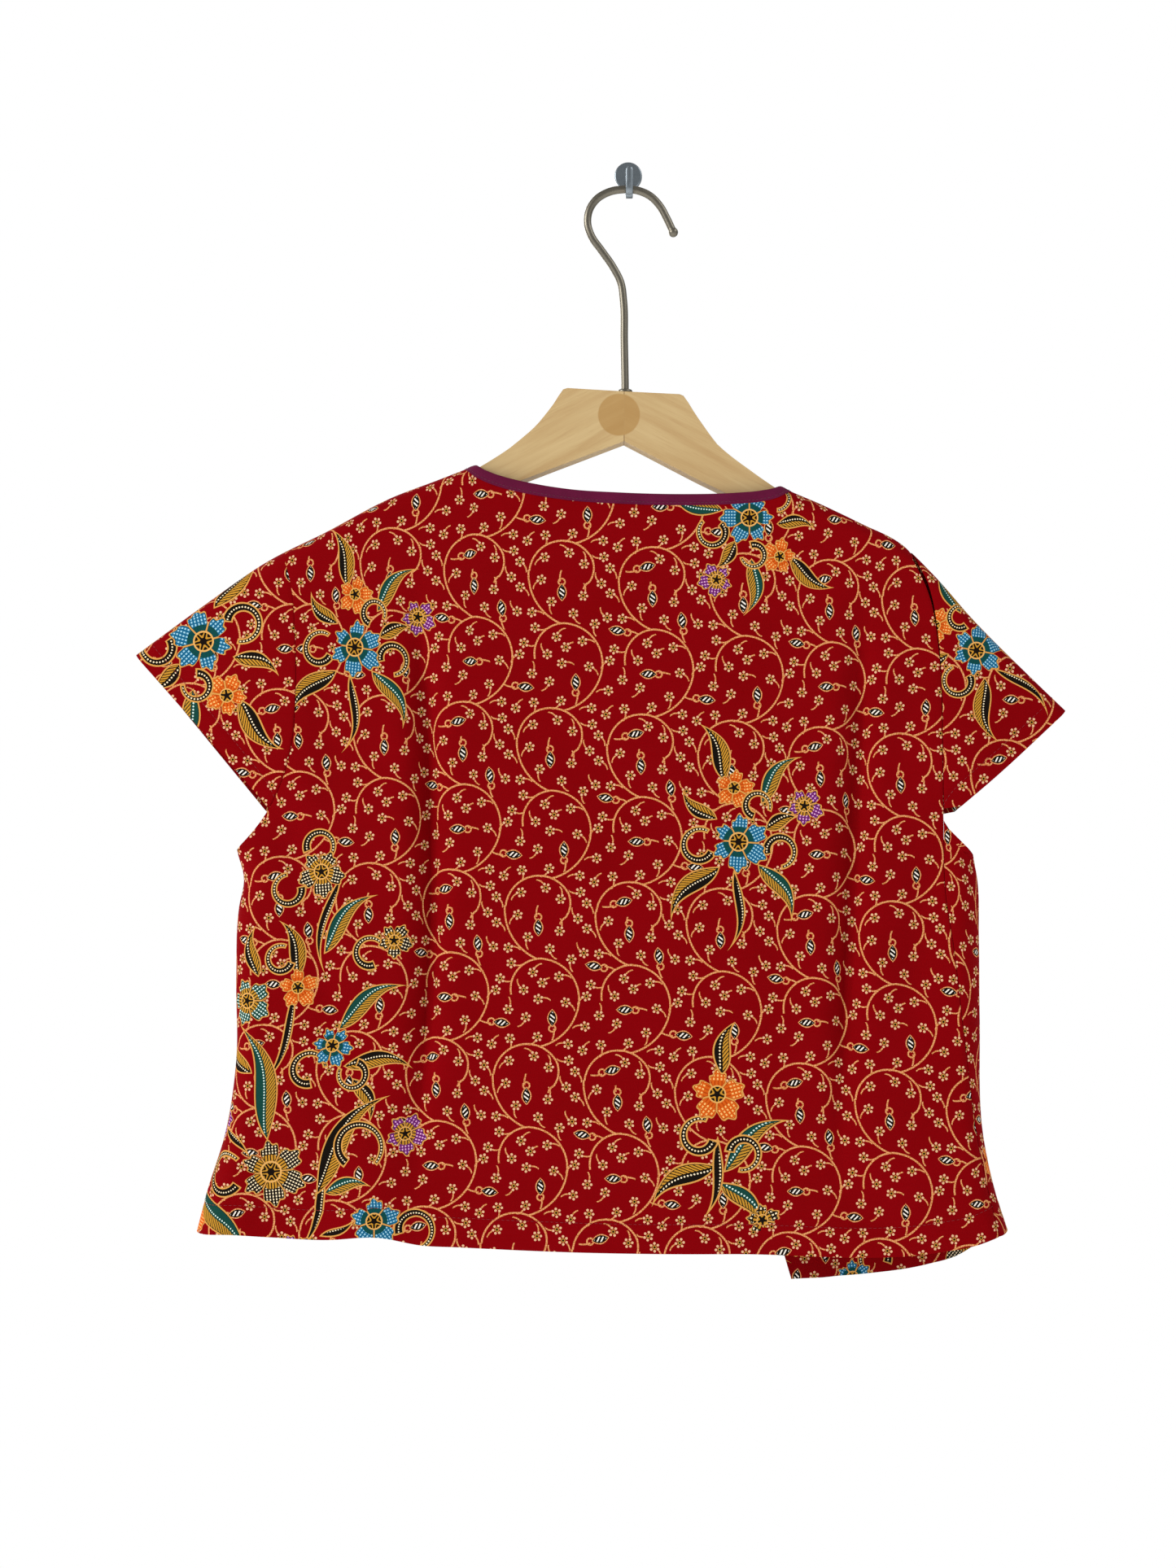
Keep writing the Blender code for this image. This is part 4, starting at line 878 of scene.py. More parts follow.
def front_under_object(net, seam_rows, looks, choose):
    """The narrow front and its wrap round the side fold to the seam on the back face."""
    x, drop = net
    front, front_normals = lift(1, x, drop, under=True)
    front = front + front_normals * panel_relief(1, x, drop, [0])[..., None]
    parts = np.array(quarter(1.0)[1:] + [1.0])
    shape = (len(x), len(parts))
    wrap_x = np.full(shape, np.nan)
    wrap_drop = np.full(shape, np.nan)
    height = drop[0, -1] - drop[:seam_rows + 1, -1]
    seam_drop = HEM_BACK_SEAM - (HEM_BACK_SEAM - SEAM_RIGHT[0][0]) * height / height[-1]
    seam_x = curve(SEAM_RIGHT, seam_drop) + SEAM_GAP / 2.0
    wrap_x[:seam_rows + 1] = x[:seam_rows + 1, -1:] + (seam_x - x[:seam_rows + 1, -1])[:, None] * parts
    wrap_drop[:seam_rows + 1] = (drop[:seam_rows + 1, -1:]
                                 + (seam_drop - drop[:seam_rows + 1, -1])[:, None] * parts)
    wrap_drop[seam_rows] = curve([(row[1], row[0]) for row in ARMHOLE_RIGHT[5:]], wrap_x[seam_rows])
    wrap, wrap_normals = lift(-1, wrap_x, wrap_drop)
    ripple = drawn_in(wrap_drop, np.abs(wrap_x - wrap_x[:, -1:]), SEAM_PUCKER, SEAM_GROOVE)
    wrap = wrap + wrap_normals * ripple[..., None]
    points = np.concatenate([front, wrap], axis=1)
    normals = np.concatenate([front_normals, wrap_normals], axis=1)
    from_hem = np.concatenate([drop[0] - drop, np.nan_to_num(wrap_drop[0] - wrap_drop, nan=FAR)], axis=1)
    thick = CLOTH + turned(from_hem, HEM_FOLD)
    inner = points - normals * thick[..., None]
    points[seam_rows + 1:] = keep_to_face(points[seam_rows + 1:], 1)
    inner[seam_rows + 1:] = keep_to_face(inner[seam_rows + 1:], 1)
    down = np.concatenate([print_drop(x, drop)[0], wrap_drop], axis=1)
    print_at = np.stack([-row_lengths(points, WRAP_PRINT), down], axis=-1)
    return cloth_object("under_front_cloth", points, inner, print_at, looks, choose), (points, normals)


def sleeve_object(name, armholes, cuffs, outward, looks, choose):
    """Cap sleeve, one piece over the shoulder fold, running out to a point on each face."""
    shares = np.linspace(0.0, 1.0, SLEEVE_POINTS)
    layers = []
    for face, armhole, cuff, tip in zip((-1, 1), armholes, cuffs, (SLEEVE_TIP_BACK, SLEEVE_TIP_FRONT)):
        top = armhole[0][0]
        round_top = top + SHOULDER_ROUND / SHOULDER_COS
        seam_drop = np.array([top + distance / SHOULDER_COS for distance in quarter(SHOULDER_ROUND, 8)]
                             + even(round_top, tip, SLEEVE_ROWS))
        down = (seam_drop - seam_drop[0]) / (seam_drop[-1] - seam_drop[0])
        seam_x = curve(armhole, seam_drop) + outward * SEAM_GAP
        end = along(cuff, down)
        x = seam_x[:, None] * (1.0 - shares) + end[:, :1] * shares
        drop = seam_drop[:, None] * (1.0 - shares) + end[:, 1:] * shares
        bow = curve(RIDGE, x[0]) - drop[0]
        drop = drop + bow * (1.0 - down[:, None]) ** 2
        points, normals = lift(face, x, drop)
        width = np.hypot(x[:, -1:] - x[:, :1], drop[:, -1:] - drop[:, :1])
        from_cuff = width * (1.0 - shares)
        relief = drawn_in(drop * 1.1, from_cuff - CUFF_FOLD, CUFF_PUCKER, CUFF_GROOVE)
        relief += drawn_in(drop, width * shares, SLEEVE_PUCKER, SEAM_GROOVE)
        relief *= smooth_step(down / SLEEVE_SMOOTH)[:, None]
        points = points + normals * relief[..., None]
        flat, fold = print_drop(x, drop)
        flat = flat if face < 0 else 2.0 * fold - flat
        layers.append((points, normals, from_cuff, np.stack([x, flat], axis=-1)))
    joined = [np.concatenate([back[::-1], front[1:]]) for back, front in zip(*layers)]
    points, normals, from_cuff, print_at = joined
    inner = points - normals * (CLOTH + turned(from_cuff, CUFF_FOLD))[..., None]
    return cloth_object(name, points, inner, print_at, looks, choose), joined


def band_object(name, band, start, stop, face, look, under=False):
    """Neck binding: a soft folded band on the neck edge, whose lips lap a little over the panel."""
    places = np.array(even(start, stop, BAND_STEP))
    seam = np.stack([places, curve(band, places, 1)])
    edge = np.stack([curve(band, places, 2), curve(band, places, 3)])
    section = BAND_SECTION + [(share, -min(height, 1.0)) for share, height in BAND_SECTION[-2:0:-1]]
    middle = BAND_RISE - BAND_THICK / 2.0
    swell = 1.0 + BAND_SWELL * pucker(places * 0.8)
    corners = []
    for share, height in section:
        x, drop = seam + (edge - seam) * share
        points, normals = lift(face, x, drop, under)
        reach = middle + height * swell * BAND_THICK / 2.0
        corners.append(keep_to_face(points + normals * reach[:, None], face))
    rings = np.stack(corners, axis=1)
    stitch_share, stitch_height, proud = BAND_STITCH
    stitch_x, stitch_drop = seam + (edge - seam) * stitch_share
    points, normals = lift(face, stitch_x, stitch_drop, under)
    stitched = points + normals * (middle + stitch_height * BAND_THICK / 2.0 + proud)
    return rings_object(name, rings, look), stitched


def rings_object(name, rings, look):
    """One closed body from rings of equal size, with a flat face at each end."""
    count, size = len(rings), len(rings[0])
    vertices = np.array(rings, dtype=float).reshape(-1, 3)
    faces = []
    for ring in range(count - 1):
        for corner in range(size):
            other = (corner + 1) % size
            faces.append([ring * size + corner, ring * size + other,
                          (ring + 1) * size + other, (ring + 1) * size + corner])
    faces.append(list(range(size)))
    faces.append([(count - 1) * size + corner for corner in range(size)])
    return make_object(name, vertices, faces, [look])


def hanger_object(look):
    """Flat wooden hanger: its outline with soft rounded edges all round."""
    left, right = BLOCK
    places = even(HANGER[0][0], left, HANGER_STEP)[:-1] + even(left, right, BLOCK_STEP)[:-1]
    places += even(right, HANGER[-1][0], HANGER_STEP)
    places = sorted({*places, *BLOCK_CORNERS, HANGER_APEX[0]})
    xs = [row[0] for row in HANGER]

    def edge(place, column):
        straight = float(np.interp(place, xs, [row[column] for row in HANGER]))
        if left - 0.01 <= place <= right + 0.01:
            return straight
        return (float(curve(HANGER, place, column)) + straight) / 2.0

    upper = [(place, edge(place, 1)) for place in places]
    lower = [(place, edge(place, 2)) for place in places]
    outline = upper + lower[::-1]
    size = len(outline)
    front = MID_Y - HANGER_THICK / 2.0
    vertices = [(x, front, -drop) for x, drop in outline]
    vertices += [(x, front + HANGER_THICK, -drop) for x, drop in outline]
    faces = [list(range(size)), list(range(2 * size - 1, size - 1, -1))]
    faces += [[step, (step + 1) % size, (step + 1) % size + size, step + size] for step in range(size)]
    placed = make_object("hanger_wood", vertices, faces, [look])
    bevel = placed.modifiers.new("Rounded", "BEVEL")
    bevel.width = HANGER_BEVEL * MM
    bevel.segments = 5
    bevel.limit_method = "ANGLE"
    bevel.angle_limit = math.radians(60)
    bevel.use_clamp_overlap = True
    return placed


def tube(path, radii, sides):
    """Rings of points round a path in the wire's plane, with each ring's radius."""
    path = np.array(path)
    forward = unit(np.gradient(path, axis=0))
    across = np.array([0.0, 1.0, 0.0])
    upward = np.cross(forward, across)
    angles = np.linspace(0.0, 2.0 * math.pi, sides, endpoint=False)
    turned_round = (across[None, None] * np.cos(angles)[None, :, None]
                    + upward[:, None] * np.sin(angles)[None, :, None])
    return path[:, None] + turned_round * np.array(radii)[:, None, None]


def wire_object(look):
    """Wire hook with a small collar where its stem meets the wood and a rounded open end."""
    stem = WIRE[0][0]
    foot = float(np.interp(stem, [row[0] for row in HANGER], [row[1] for row in HANGER])) - WIRE_FOOT
    path = [(stem, MID_Y, -foot + rise) for rise, _ in COLLAR]
    radii = [radius for _, radius in COLLAR]
    wire = along(WIRE, np.linspace(0.0, 1.0, WIRE_POINTS))
    path += [(x, MID_Y, -drop) for x, drop in wire]
    radii += [WIRE_RADIUS] * len(wire)
    end = np.array(path[-1])
    forward = unit(end - np.array(path[-2]))
    first, step, count = WIRE_TIP_ANGLES
    for ring in range(1, count + 1):
        angle = math.radians(first + step * ring)
        path.append(tuple(end + forward * WIRE_TIP_RADIUS * (WIRE_TIP_BACK - math.cos(angle))))
        radii.append(WIRE_TIP_RADIUS * math.sin(angle))
    return rings_object("wire_hook", tube(path, radii, WIRE_SIDES), look)


def plate_object(look):
    """Round wall plate with a softened rim."""
    shape = [(0.0, PLATE_RADIUS), (-PLATE_THICK + PLATE_EDGE, PLATE_RADIUS)]
    for step in range(1, PLATE_ROUND + 1):
        angle = math.pi / 2.0 * step / PLATE_ROUND
        shape.append((-PLATE_THICK + PLATE_EDGE * (1.0 - math.sin(angle)),
                      PLATE_RADIUS - PLATE_EDGE * (1.0 - math.cos(angle))))
    angles = np.linspace(0.0, 2.0 * math.pi, PLATE_SIDES, endpoint=False)
    rings = [np.stack([radius * np.cos(angles), np.full(PLATE_SIDES, y), radius * np.sin(angles)], axis=-1)
             for y, radius in shape]
    return rings_object("wall_plate", rings, look)


def strip_object(look):
    """Flat strip bent out of the plate, down and up again in front of the wire, to a pointed end."""
    path = np.array([(0.0, y, -drop) for y, drop in along(STRIP, np.linspace(0.0, 1.0, STRIP_POINTS))])
    outward = np.cross(unit(np.gradient(path, axis=0)), np.array([1.0, 0.0, 0.0]))
    half, deep, soft = STRIP_WIDTH / 2.0, STRIP_THICK / 2.0, STRIP_SOFT
    corners = [(-half, -deep + soft), (-half + soft, -deep), (half - soft, -deep), (half, -deep + soft),
               (half, deep - soft), (half - soft, deep), (-half + soft, deep), (-half, deep - soft)]
    rings = [[centre + np.array([side, 0.0, 0.0]) + out * rise for side, rise in corners]
             for centre, out in zip(path, outward)]
    start, out = path[-1], outward[-1]
    tip = np.array([0.0, STRIP_TIP[0], -STRIP_TIP[1]])
    for part, width in STRIP_TAPER:
        centre = start + (tip - start) * part
        rings.append([centre + np.array([side * width, 0.0, 0.0]) + out * rise for side, rise in corners])
    return rings_object("wall_strip", rings, look)


def linear(code):
    """Linear colour of an sRGB hex value."""
    parts = [int(code[place:place + 2], 16) / 255.0 for place in (0, 2, 4)]
    return tuple(part / 12.92 if part <= 0.04045 else ((part + 0.055) / 1.055) ** 2.4
                 for part in parts) + (1.0,)


def add(tree, kind, *inputs, named=None, **settings):
    """Add a node with its settings; inputs are values or links for its sockets in order. First output.

    Kind is the node's type, or one of the families and its choice, such as math ADD."""
    family, _, choice = kind.partition(" ")
    if choice:
        kind, setting = FAMILIES[family]
        settings[setting] = choice
    made = tree.nodes.new(kind)
    for key, value in settings.items():
        setattr(made, key, value)
    sockets = [socket for socket in made.inputs if socket.enabled]
    pairs = [(socket, value) for socket, value in zip(sockets, inputs) if value is not None]
    pairs += [(made.inputs[key], value) for key, value in (named or {}).items()]
    for socket, value in pairs:
        if isinstance(value, bpy.types.NodeSocket):
            tree.links.new(value, socket)
        else:
            socket.default_value = value
    return next((socket for socket in made.outputs if socket.enabled), made)


def new_material(name):
    """An empty material, and the function that adds nodes to it."""
    made = bpy.data.materials.new(name)
    made.use_nodes = True
    made.node_tree.nodes.clear()
    return made, partial(add, made.node_tree)


def finish_material(put, **named):
    """Principled shader and output, with the sockets' names written with underscores."""
    sockets = {key.replace("_", " "): value for key, value in named.items()}
    put("ShaderNodeOutputMaterial", put("ShaderNodeBsdfPrincipled", named=sockets))


def new_group(name, kind, inputs, outputs):
    """An empty node group with named sockets, the function that adds nodes to it, and what it is given."""
    tree = bpy.data.node_groups.new(name, kind)
    for way, sockets in (("INPUT", inputs), ("OUTPUT", outputs)):
        for socket, held in sockets.items():
            tree.interface.new_socket(socket, in_out=way, socket_type="NodeSocket" + held)
    return tree, partial(add, tree), tree.nodes.new("NodeGroupInput").outputs


def paint_over(put, colour, layers):
    """Lay colours over each other in order, each where its cover is 1."""
    for cover, paint in layers:
        colour = put("mix RGBA", cover, colour, linear(paint) if isinstance(paint, str) else paint)
    return colour


def repeat_cell(margin):
    """Lowest and highest place of the repeat's cell, with a margin round it."""
    low = [place - margin for place in REPEAT_LOW]
    high = [place + size + margin for place, size in zip(REPEAT_LOW, REPEAT)]
    return low, high


def copies(x, y, reach):
    """A charted thing's places in and round the repeat's cell, with the columns that each is moved by."""
    low, high = repeat_cell(reach)
    for right in (-1, 0, 1):
        for down in (-1, 0, 1):
            at_x, at_y = x + right * REPEAT[0], y + down * REPEAT[1]
            if low[0] < at_x < high[0] and low[1] < at_y < high[1]:
                yield at_x, at_y, right


def waves(put, position, pitch, level):
    """1 on stripes of the given pitch along a position; a higher level makes them thinner."""
    wave = put("math SINE", put("math MULTIPLY", position, 2.0 * math.pi / pitch))
    return put("math GREATER_THAN", wave, level)


def nearest(put, place, odd_column, rows, reach):
    """Distance to the nearest charted flower or pod, and its place with its angle in radians as z.

    A bow to the other side is told by a full turn more."""
    hidden = {0: put("math MULTIPLY", odd_column, FAR),
              1: put("math MULTIPLY_ADD", odd_column, -FAR, FAR)}
    best, pick = FAR, (0.0, 0.0, 0.0)
    for x, y, angle, bow, columns in rows:
        turn = math.radians(angle) + (0.0 if bow > 0 else 2.0 * math.pi)
        for at_x, at_y, right in copies(x, y, reach):
            away = put("vector DISTANCE", place, (at_x, at_y, 0.0))
            if columns != "all":
                own_column = (("even", "odd").index(columns) - right) % 2
                away = put("math ADD", away, hidden[own_column])
            closer = put("math LESS_THAN", away, best)
            pick = put("mix VECTOR", closer, pick, (at_x, at_y, turn))
            best = put("math MINIMUM", away, best)
    return best, pick


def own_frame(put, place, pick):
    """The place in a flower's or pod's own frame: along its stem, and across towards its bow."""
    local = put("vector SUBTRACT", place, pick)
    turn = put(SEPARATE, local).node.outputs["Z"]
    turned = put("ShaderNodeVectorRotate", named={"Vector": local, "Angle": turn}, rotation_type="Z_AXIS")
    axes = put(SEPARATE, turned).node
    other_bow = put("math LESS_THAN", turn, -2.0 * math.pi)
    side = put("math MULTIPLY_ADD", other_bow, -2.0, 1.0)
    return axes.outputs["X"], put("math MULTIPLY", axes.outputs["Y"], side)


def vine_cover(put, place):
    """1 on the vines, of which each arc is kept to its stretch by the direction of its middle."""
    low, high = repeat_cell(VINE_MARGIN)
    cover = 0.0
    for (centre_x, centre_y), radius, start, stop in VINES:
        middle, half = math.radians((start + stop) / 2.0), math.radians((stop - start) / 2.0)
        stretch = np.linspace(middle - half, middle + half, VINE_TESTS)
        for at_x, at_y, _ in copies(centre_x, centre_y, radius):
            x, y = at_x + radius * np.cos(stretch), at_y + radius * np.sin(stretch)
            if not np.any((x > low[0]) & (x < high[0]) & (y > low[1]) & (y < high[1])):
                continue
            local = put("vector SUBTRACT", place, (at_x, at_y, 0.0))
            away = put("vector LENGTH", local)
            facing = put("vector DOT_PRODUCT", local, (math.cos(middle), math.sin(middle), 0.0))
            ahead = put("math MULTIPLY_ADD", away, -math.cos(half), facing)
            on_circle = put("math COMPARE", away, radius, VINE_HALF)
            drawn = put("math MULTIPLY", put("math GREATER_THAN", ahead, 0.0), on_circle)
            cover = put("math MAXIMUM", cover, drawn)
    return cover


def bowed_line(put, along_x, across_y, start, stop, bow, half):
    """1 on a thin stroke that bows to one side between its ends, drawn from a little past its start."""
    share = put("math MULTIPLY_ADD", along_x, 2.0 / (stop - start), -(stop + start) / (stop - start))
    moved = put("math MULTIPLY_ADD", put("math MULTIPLY", share, share), bow, across_y)
    thin = put("math COMPARE", moved, bow, half)
    return put("math MULTIPLY", thin, put("math COMPARE", share, *STROKE_DRAWN))


def vine_repeat():
    """Shader group of the small repeat: red ground, vines, six-petalled flowers and seed pods."""
    tree, put, given = new_group("vine_repeat", "ShaderNodeTree", {"Place": "Vector"}, {"Color": "Color"})
    on_chart = put(MAPPING, named={
        "Vector": given["Place"], "Location": (*REPEAT_AT, 0.0),
        "Rotation": (0.0, 0.0, math.radians(REPEAT_TURN))}, vector_type="TEXTURE")
    column = put("math MULTIPLY_ADD", put(SEPARATE, on_chart), 1.0 / REPEAT[0], -REPEAT_LOW[0] / REPEAT[0])
    odd_column = put("math PINGPONG", put("math FLOOR", column), 1.0)
    high = (REPEAT_LOW[0] + REPEAT[0], REPEAT_LOW[1] + REPEAT[1], 1.0)
    place = put("vector WRAP", on_chart, high, (*REPEAT_LOW, -1.0))
    cloudy = put(NOISE, given["Place"], named={"Scale": CLOUD_SCALE, "Detail": 3.0})
    ground = put("mix RGBA", cloudy, *map(linear, GROUND))
    beads = put("ShaderNodeTexVoronoi", given["Place"],
                named={"Scale": BEAD_SCALE, "Randomness": BEAD_UNEVEN}, voronoi_dimensions="2D")
    gold = put("mix RGBA", put("math LESS_THAN", beads, BEAD_SIZE), *map(linear, VINE_GOLD))

    away, pick = nearest(put, place, odd_column, FLOWERS, FLOWER_REACH)
    along_x, across_y = own_frame(put, place, pick)
    stem = bowed_line(put, along_x, across_y, *FLOWER_STEM)
    # six round petals: distance from the nearest one by the cosine rule
    sixth = put("math WRAP", put("math ARCTAN2", across_y, along_x), math.pi / 3.0, 0.0)
    beside = put("math COSINE", put("math SUBTRACT", sixth, math.pi / 6.0))
    term = put("math MULTIPLY_ADD", beside, -2.0 * PETAL_AT, away)
    petal = put("math LESS_THAN", put("math MULTIPLY", away, term), PETAL_RADIUS ** 2 - PETAL_AT ** 2)
    layers = [(vine_cover(put, place), gold), (stem, gold), (petal, PETAL_COLOUR)]
    layers += [(put("math LESS_THAN", away, radius), paint) for radius, paint in FLOWER_MIDDLE]

    away, pick = nearest(put, place, odd_column, PODS, POD_REACH)
    along_x, across_y = own_frame(put, place, pick)
    tail = bowed_line(put, along_x, across_y, *POD_TAIL)
    from_loop = put("vector DISTANCE", put(COMBINE, along_x, across_y, 0.0), (POD_LOOP_AT, 0.0, 0.0))
    loop = put("math COMPARE", from_loop, POD_LOOP_RADIUS, POD_LOOP_HALF)
    shifted = put("math ADD", along_x, POD_BACK)
    square = put("math MULTIPLY", shifted, shifted)
    half = put("math MULTIPLY_ADD", square, -POD_HALF / POD_LONG ** 2, POD_HALF)
    depth = put("math SUBTRACT", half, put("math ABSOLUTE", across_y))
    slant = put("math MULTIPLY_ADD", across_y, STROKE_SLANT, along_x)
    strokes = put("math MULTIPLY", waves(put, slant, *STROKES), put("math GREATER_THAN", depth, STROKE_DEPTH))
    layers += [(put("math MAXIMUM", tail, loop), gold), (put("math GREATER_THAN", depth, 0.0), gold),
               (put("math GREATER_THAN", depth, POD_RIM), POD_DARK), (strokes, POD_WHITE)]
    put("NodeGroupOutput", paint_over(put, ground, layers))
    return tree


def kind_value(kind):
    """A kind's place on the colour ramps, in the middle of its band."""
    return (list(KINDS).index(kind) + 0.5) / len(KINDS)


def kind_ramp(put, value, column):
    """One of the kind's colours, picked from a stepped ramp."""
    picked = put(RAMP, value)
    ramp = picked.node.color_ramp
    ramp.interpolation = "CONSTANT"
    for number, colours in enumerate(KINDS.values()):
        while len(ramp.elements) <= number:
            ramp.elements.new(1.0)
        stop = ramp.elements[number]
        stop.position = number / len(KINDS)
        stop.color = linear(colours[column])
    return picked


def leaf(put, along_x, across_y, value, length, width, bend):
    """A bent leaf that tapers towards its tip: depth inside it, and where in it."""
    share = put("math MULTIPLY", along_x, 1.0 / length)
    square = put("math MULTIPLY", share, share)
    sway = put("math MULTIPLY_ADD", share, LEAF_CURL * bend, bend)
    across = put("math SUBTRACT", across_y, put("math MULTIPLY", square, sway))
    taper = put("math MAXIMUM", put("math MULTIPLY_ADD", share, -LEAF_TAPER, 1.0), 0.0)
    half = put("math MULTIPLY", put("math MULTIPLY_ADD", square, -width, width), taper)
    depth = put("math SUBTRACT", half, put("math ABSOLUTE", across))
    where = put(COMBINE, along_x, across, value)
    return depth, where, where


def hook(put, angle, away, value, radius, width):
    """A curled stem: depth inside it, and where along and across it."""
    off = put("math SUBTRACT", away, put("math MULTIPLY_ADD", angle, HOOK_SPREAD * radius, radius))
    half = put("math MULTIPLY_ADD", angle, -HOOK_TAPER * width, width)
    ring = put("math SUBTRACT", half, put("math ABSOLUTE", off))
    end = put("math MULTIPLY_ADD", put("math ABSOLUTE", angle), -radius, HOOK_REACH * radius)
    across = put("math SUBTRACT", off, DOT_ROW)
    where = put(COMBINE, put("math MULTIPLY", angle, radius), across, value)
    return put("math MINIMUM", ring, end), where, where


def blossom(put, angle, away, value, radius, petals):
    """Ruffled petals round a middle: depth inside them, where in the blossom, and where on the petal."""
    folds = petals / 2.0
    lobe = put("math ABSOLUTE", put("math COSINE", put("math MULTIPLY", angle, folds)))
    ruffle = put("math COSINE", put("math MULTIPLY_ADD", angle, RUFFLES * folds, RUFFLE_TURN))
    edge = put("math MULTIPLY_ADD", lobe, PETAL_LONG * radius, PETAL_FOOT * radius)
    edge = put("math MULTIPLY_ADD", ruffle, RUFFLE_DEPTH * radius, edge)
    edge = put("math MULTIPLY_ADD", put("math COSINE", angle), PETAL_LONGER * radius, edge)
    share = put("math MULTIPLY", away, 1.0 / radius)
    seam = put("math MULTIPLY", put("math MULTIPLY", away, lobe), 1.0 / folds)
    from_middle = put("math WRAP", angle, math.pi / petals, -math.pi / petals)
    along, across = (put("math MULTIPLY", away, put("math " + way, from_middle))
                     for way in ("COSINE", "SINE"))
    return (put("math SUBTRACT", edge, away), put(COMBINE, share, seam, value + 1.0),
            put(COMBINE, along, across, 0.0))


def motif(put, place, row):
    """Depth inside one motif in mm, where in it, and the place along and across its leaf or petal.

    Where is along, across and kind in a leaf or stem, and share of the radius, mm from a seam and
    kind in a blossom."""
    shape, kind, x, y, direction, *sizes = row
    local = put(MAPPING, named={"Vector": place, "Location": (x, y, 0.0),
                                "Rotation": (0.0, 0.0, math.radians(direction))}, vector_type="TEXTURE")
    axes = put(SEPARATE, local).node
    along_x, across_y = axes.outputs["X"], axes.outputs["Y"]
    value = kind_value(kind)
    if shape == "leaf":
        return leaf(put, along_x, across_y, value, *sizes)
    drawn = hook if shape == "hook" else blossom
    return drawn(put, put("math ARCTAN2", across_y, along_x), put("vector LENGTH", local), value, *sizes)


def bouquet_group(name, rows):
    """Shader group of a bouquet: its colour, and where it covers the ground."""
    tree, put, given = new_group(name, "ShaderNodeTree", {"Place": "Vector"},
                                 {"Color": "Color", "Cover": "Float"})
    depth, pick, dashes = motif(put, given["Place"], rows[0])
    for row in rows[1:]:
        next_depth, next_pick, next_dashes = motif(put, given["Place"], row)
        inside = put("math GREATER_THAN", next_depth, 0.0)
        pick = put("mix VECTOR", inside, pick, next_pick)
        dashes = put("mix VECTOR", inside, dashes, next_dashes)
        depth = put("mix FLOAT", inside, depth, next_depth)
    axes = put(SEPARATE, pick).node
    first, second, kind = axes.outputs["X"], axes.outputs["Y"], axes.outputs["Z"]
    is_blossom = put("math GREATER_THAN", kind, 1.0)
    value = put("math SUBTRACT", kind, is_blossom)
    main, base, rib, light = (kind_ramp(put, value, column) for column in range(4))

    # leaf or stem: a dark half with a row of dots along it, and a half with slanted ribs
    step = put("math WRAP", first, DOT_PITCH / 2.0, -DOT_PITCH / 2.0)
    from_dot = put("vector LENGTH", put(COMBINE, step, put("math ADD", second, DOT_ROW), 0.0))
    dotted = put("mix RGBA", put("math LESS_THAN", from_dot, DOT_RADIUS), main, light)
    slant = put("math MULTIPLY_ADD", put("math ABSOLUTE", second), -RIB_SLANT, first)
    ribbed = put("mix RGBA", waves(put, slant, *RIBS), base, rib)
    leaf_paint = put("mix RGBA", put("math GREATER_THAN", second, RIBS_FROM), dotted, ribbed)

    # petal: rows of light dashes towards its edge, and a darker or ribbed foot
    petal_axes = put(SEPARATE, dashes).node
    beside, outward = petal_axes.outputs["Y"], petal_axes.outputs["X"]
    dash_row = waves(put, put("math ADD", beside, DASH_ROWS / 4.0), DASH_ROWS, DASH_ROW_LEVEL)
    dash = put("math MULTIPLY", dash_row, waves(put, outward, DASH_PITCH, DASH_LEVEL))
    petal = put("mix RGBA", dash, main, light)
    foot = put("mix RGBA", waves(put, beside, *FOOT_RIBS), base, rib)
    petal = put("mix RGBA", put("math LESS_THAN", first, FOOT_SHARE), petal, foot)
    colour = put("mix RGBA", is_blossom, leaf_paint, petal)

    # gold lines round each motif and between petals, with a thin dark line inside, and a blossom's cup
    seam_depth = put("math MINIMUM", depth, put("math ADD", second, OUTLINE / 2.0))
    depth_in = put("mix FLOAT", is_blossom, depth, seam_depth)
    cup = put("mix RGBA", waves(put, second, CUP_RIBS, 0.0), linear(CUP_GOLD), linear(CUP_DARK))
    cup = paint_over(put, cup, [(put("math GREATER_THAN", first, CUP_RIM), CUP_PALE),
                                (put("math LESS_THAN", first, CUP_EYE), CUP_DARK)])
    in_cup = put("math MULTIPLY", is_blossom, put("math LESS_THAN", first, CUP_SHARE))
    colour = paint_over(put, colour, [(put("math LESS_THAN", depth_in, OUTLINE + INNER_LINE), rib),
                                      (put("math LESS_THAN", depth_in, OUTLINE), MOTIF_GOLD), (in_cup, cup)])
    put("NodeGroupOutput", colour, put("math GREATER_THAN", depth, 0.0))
    return tree


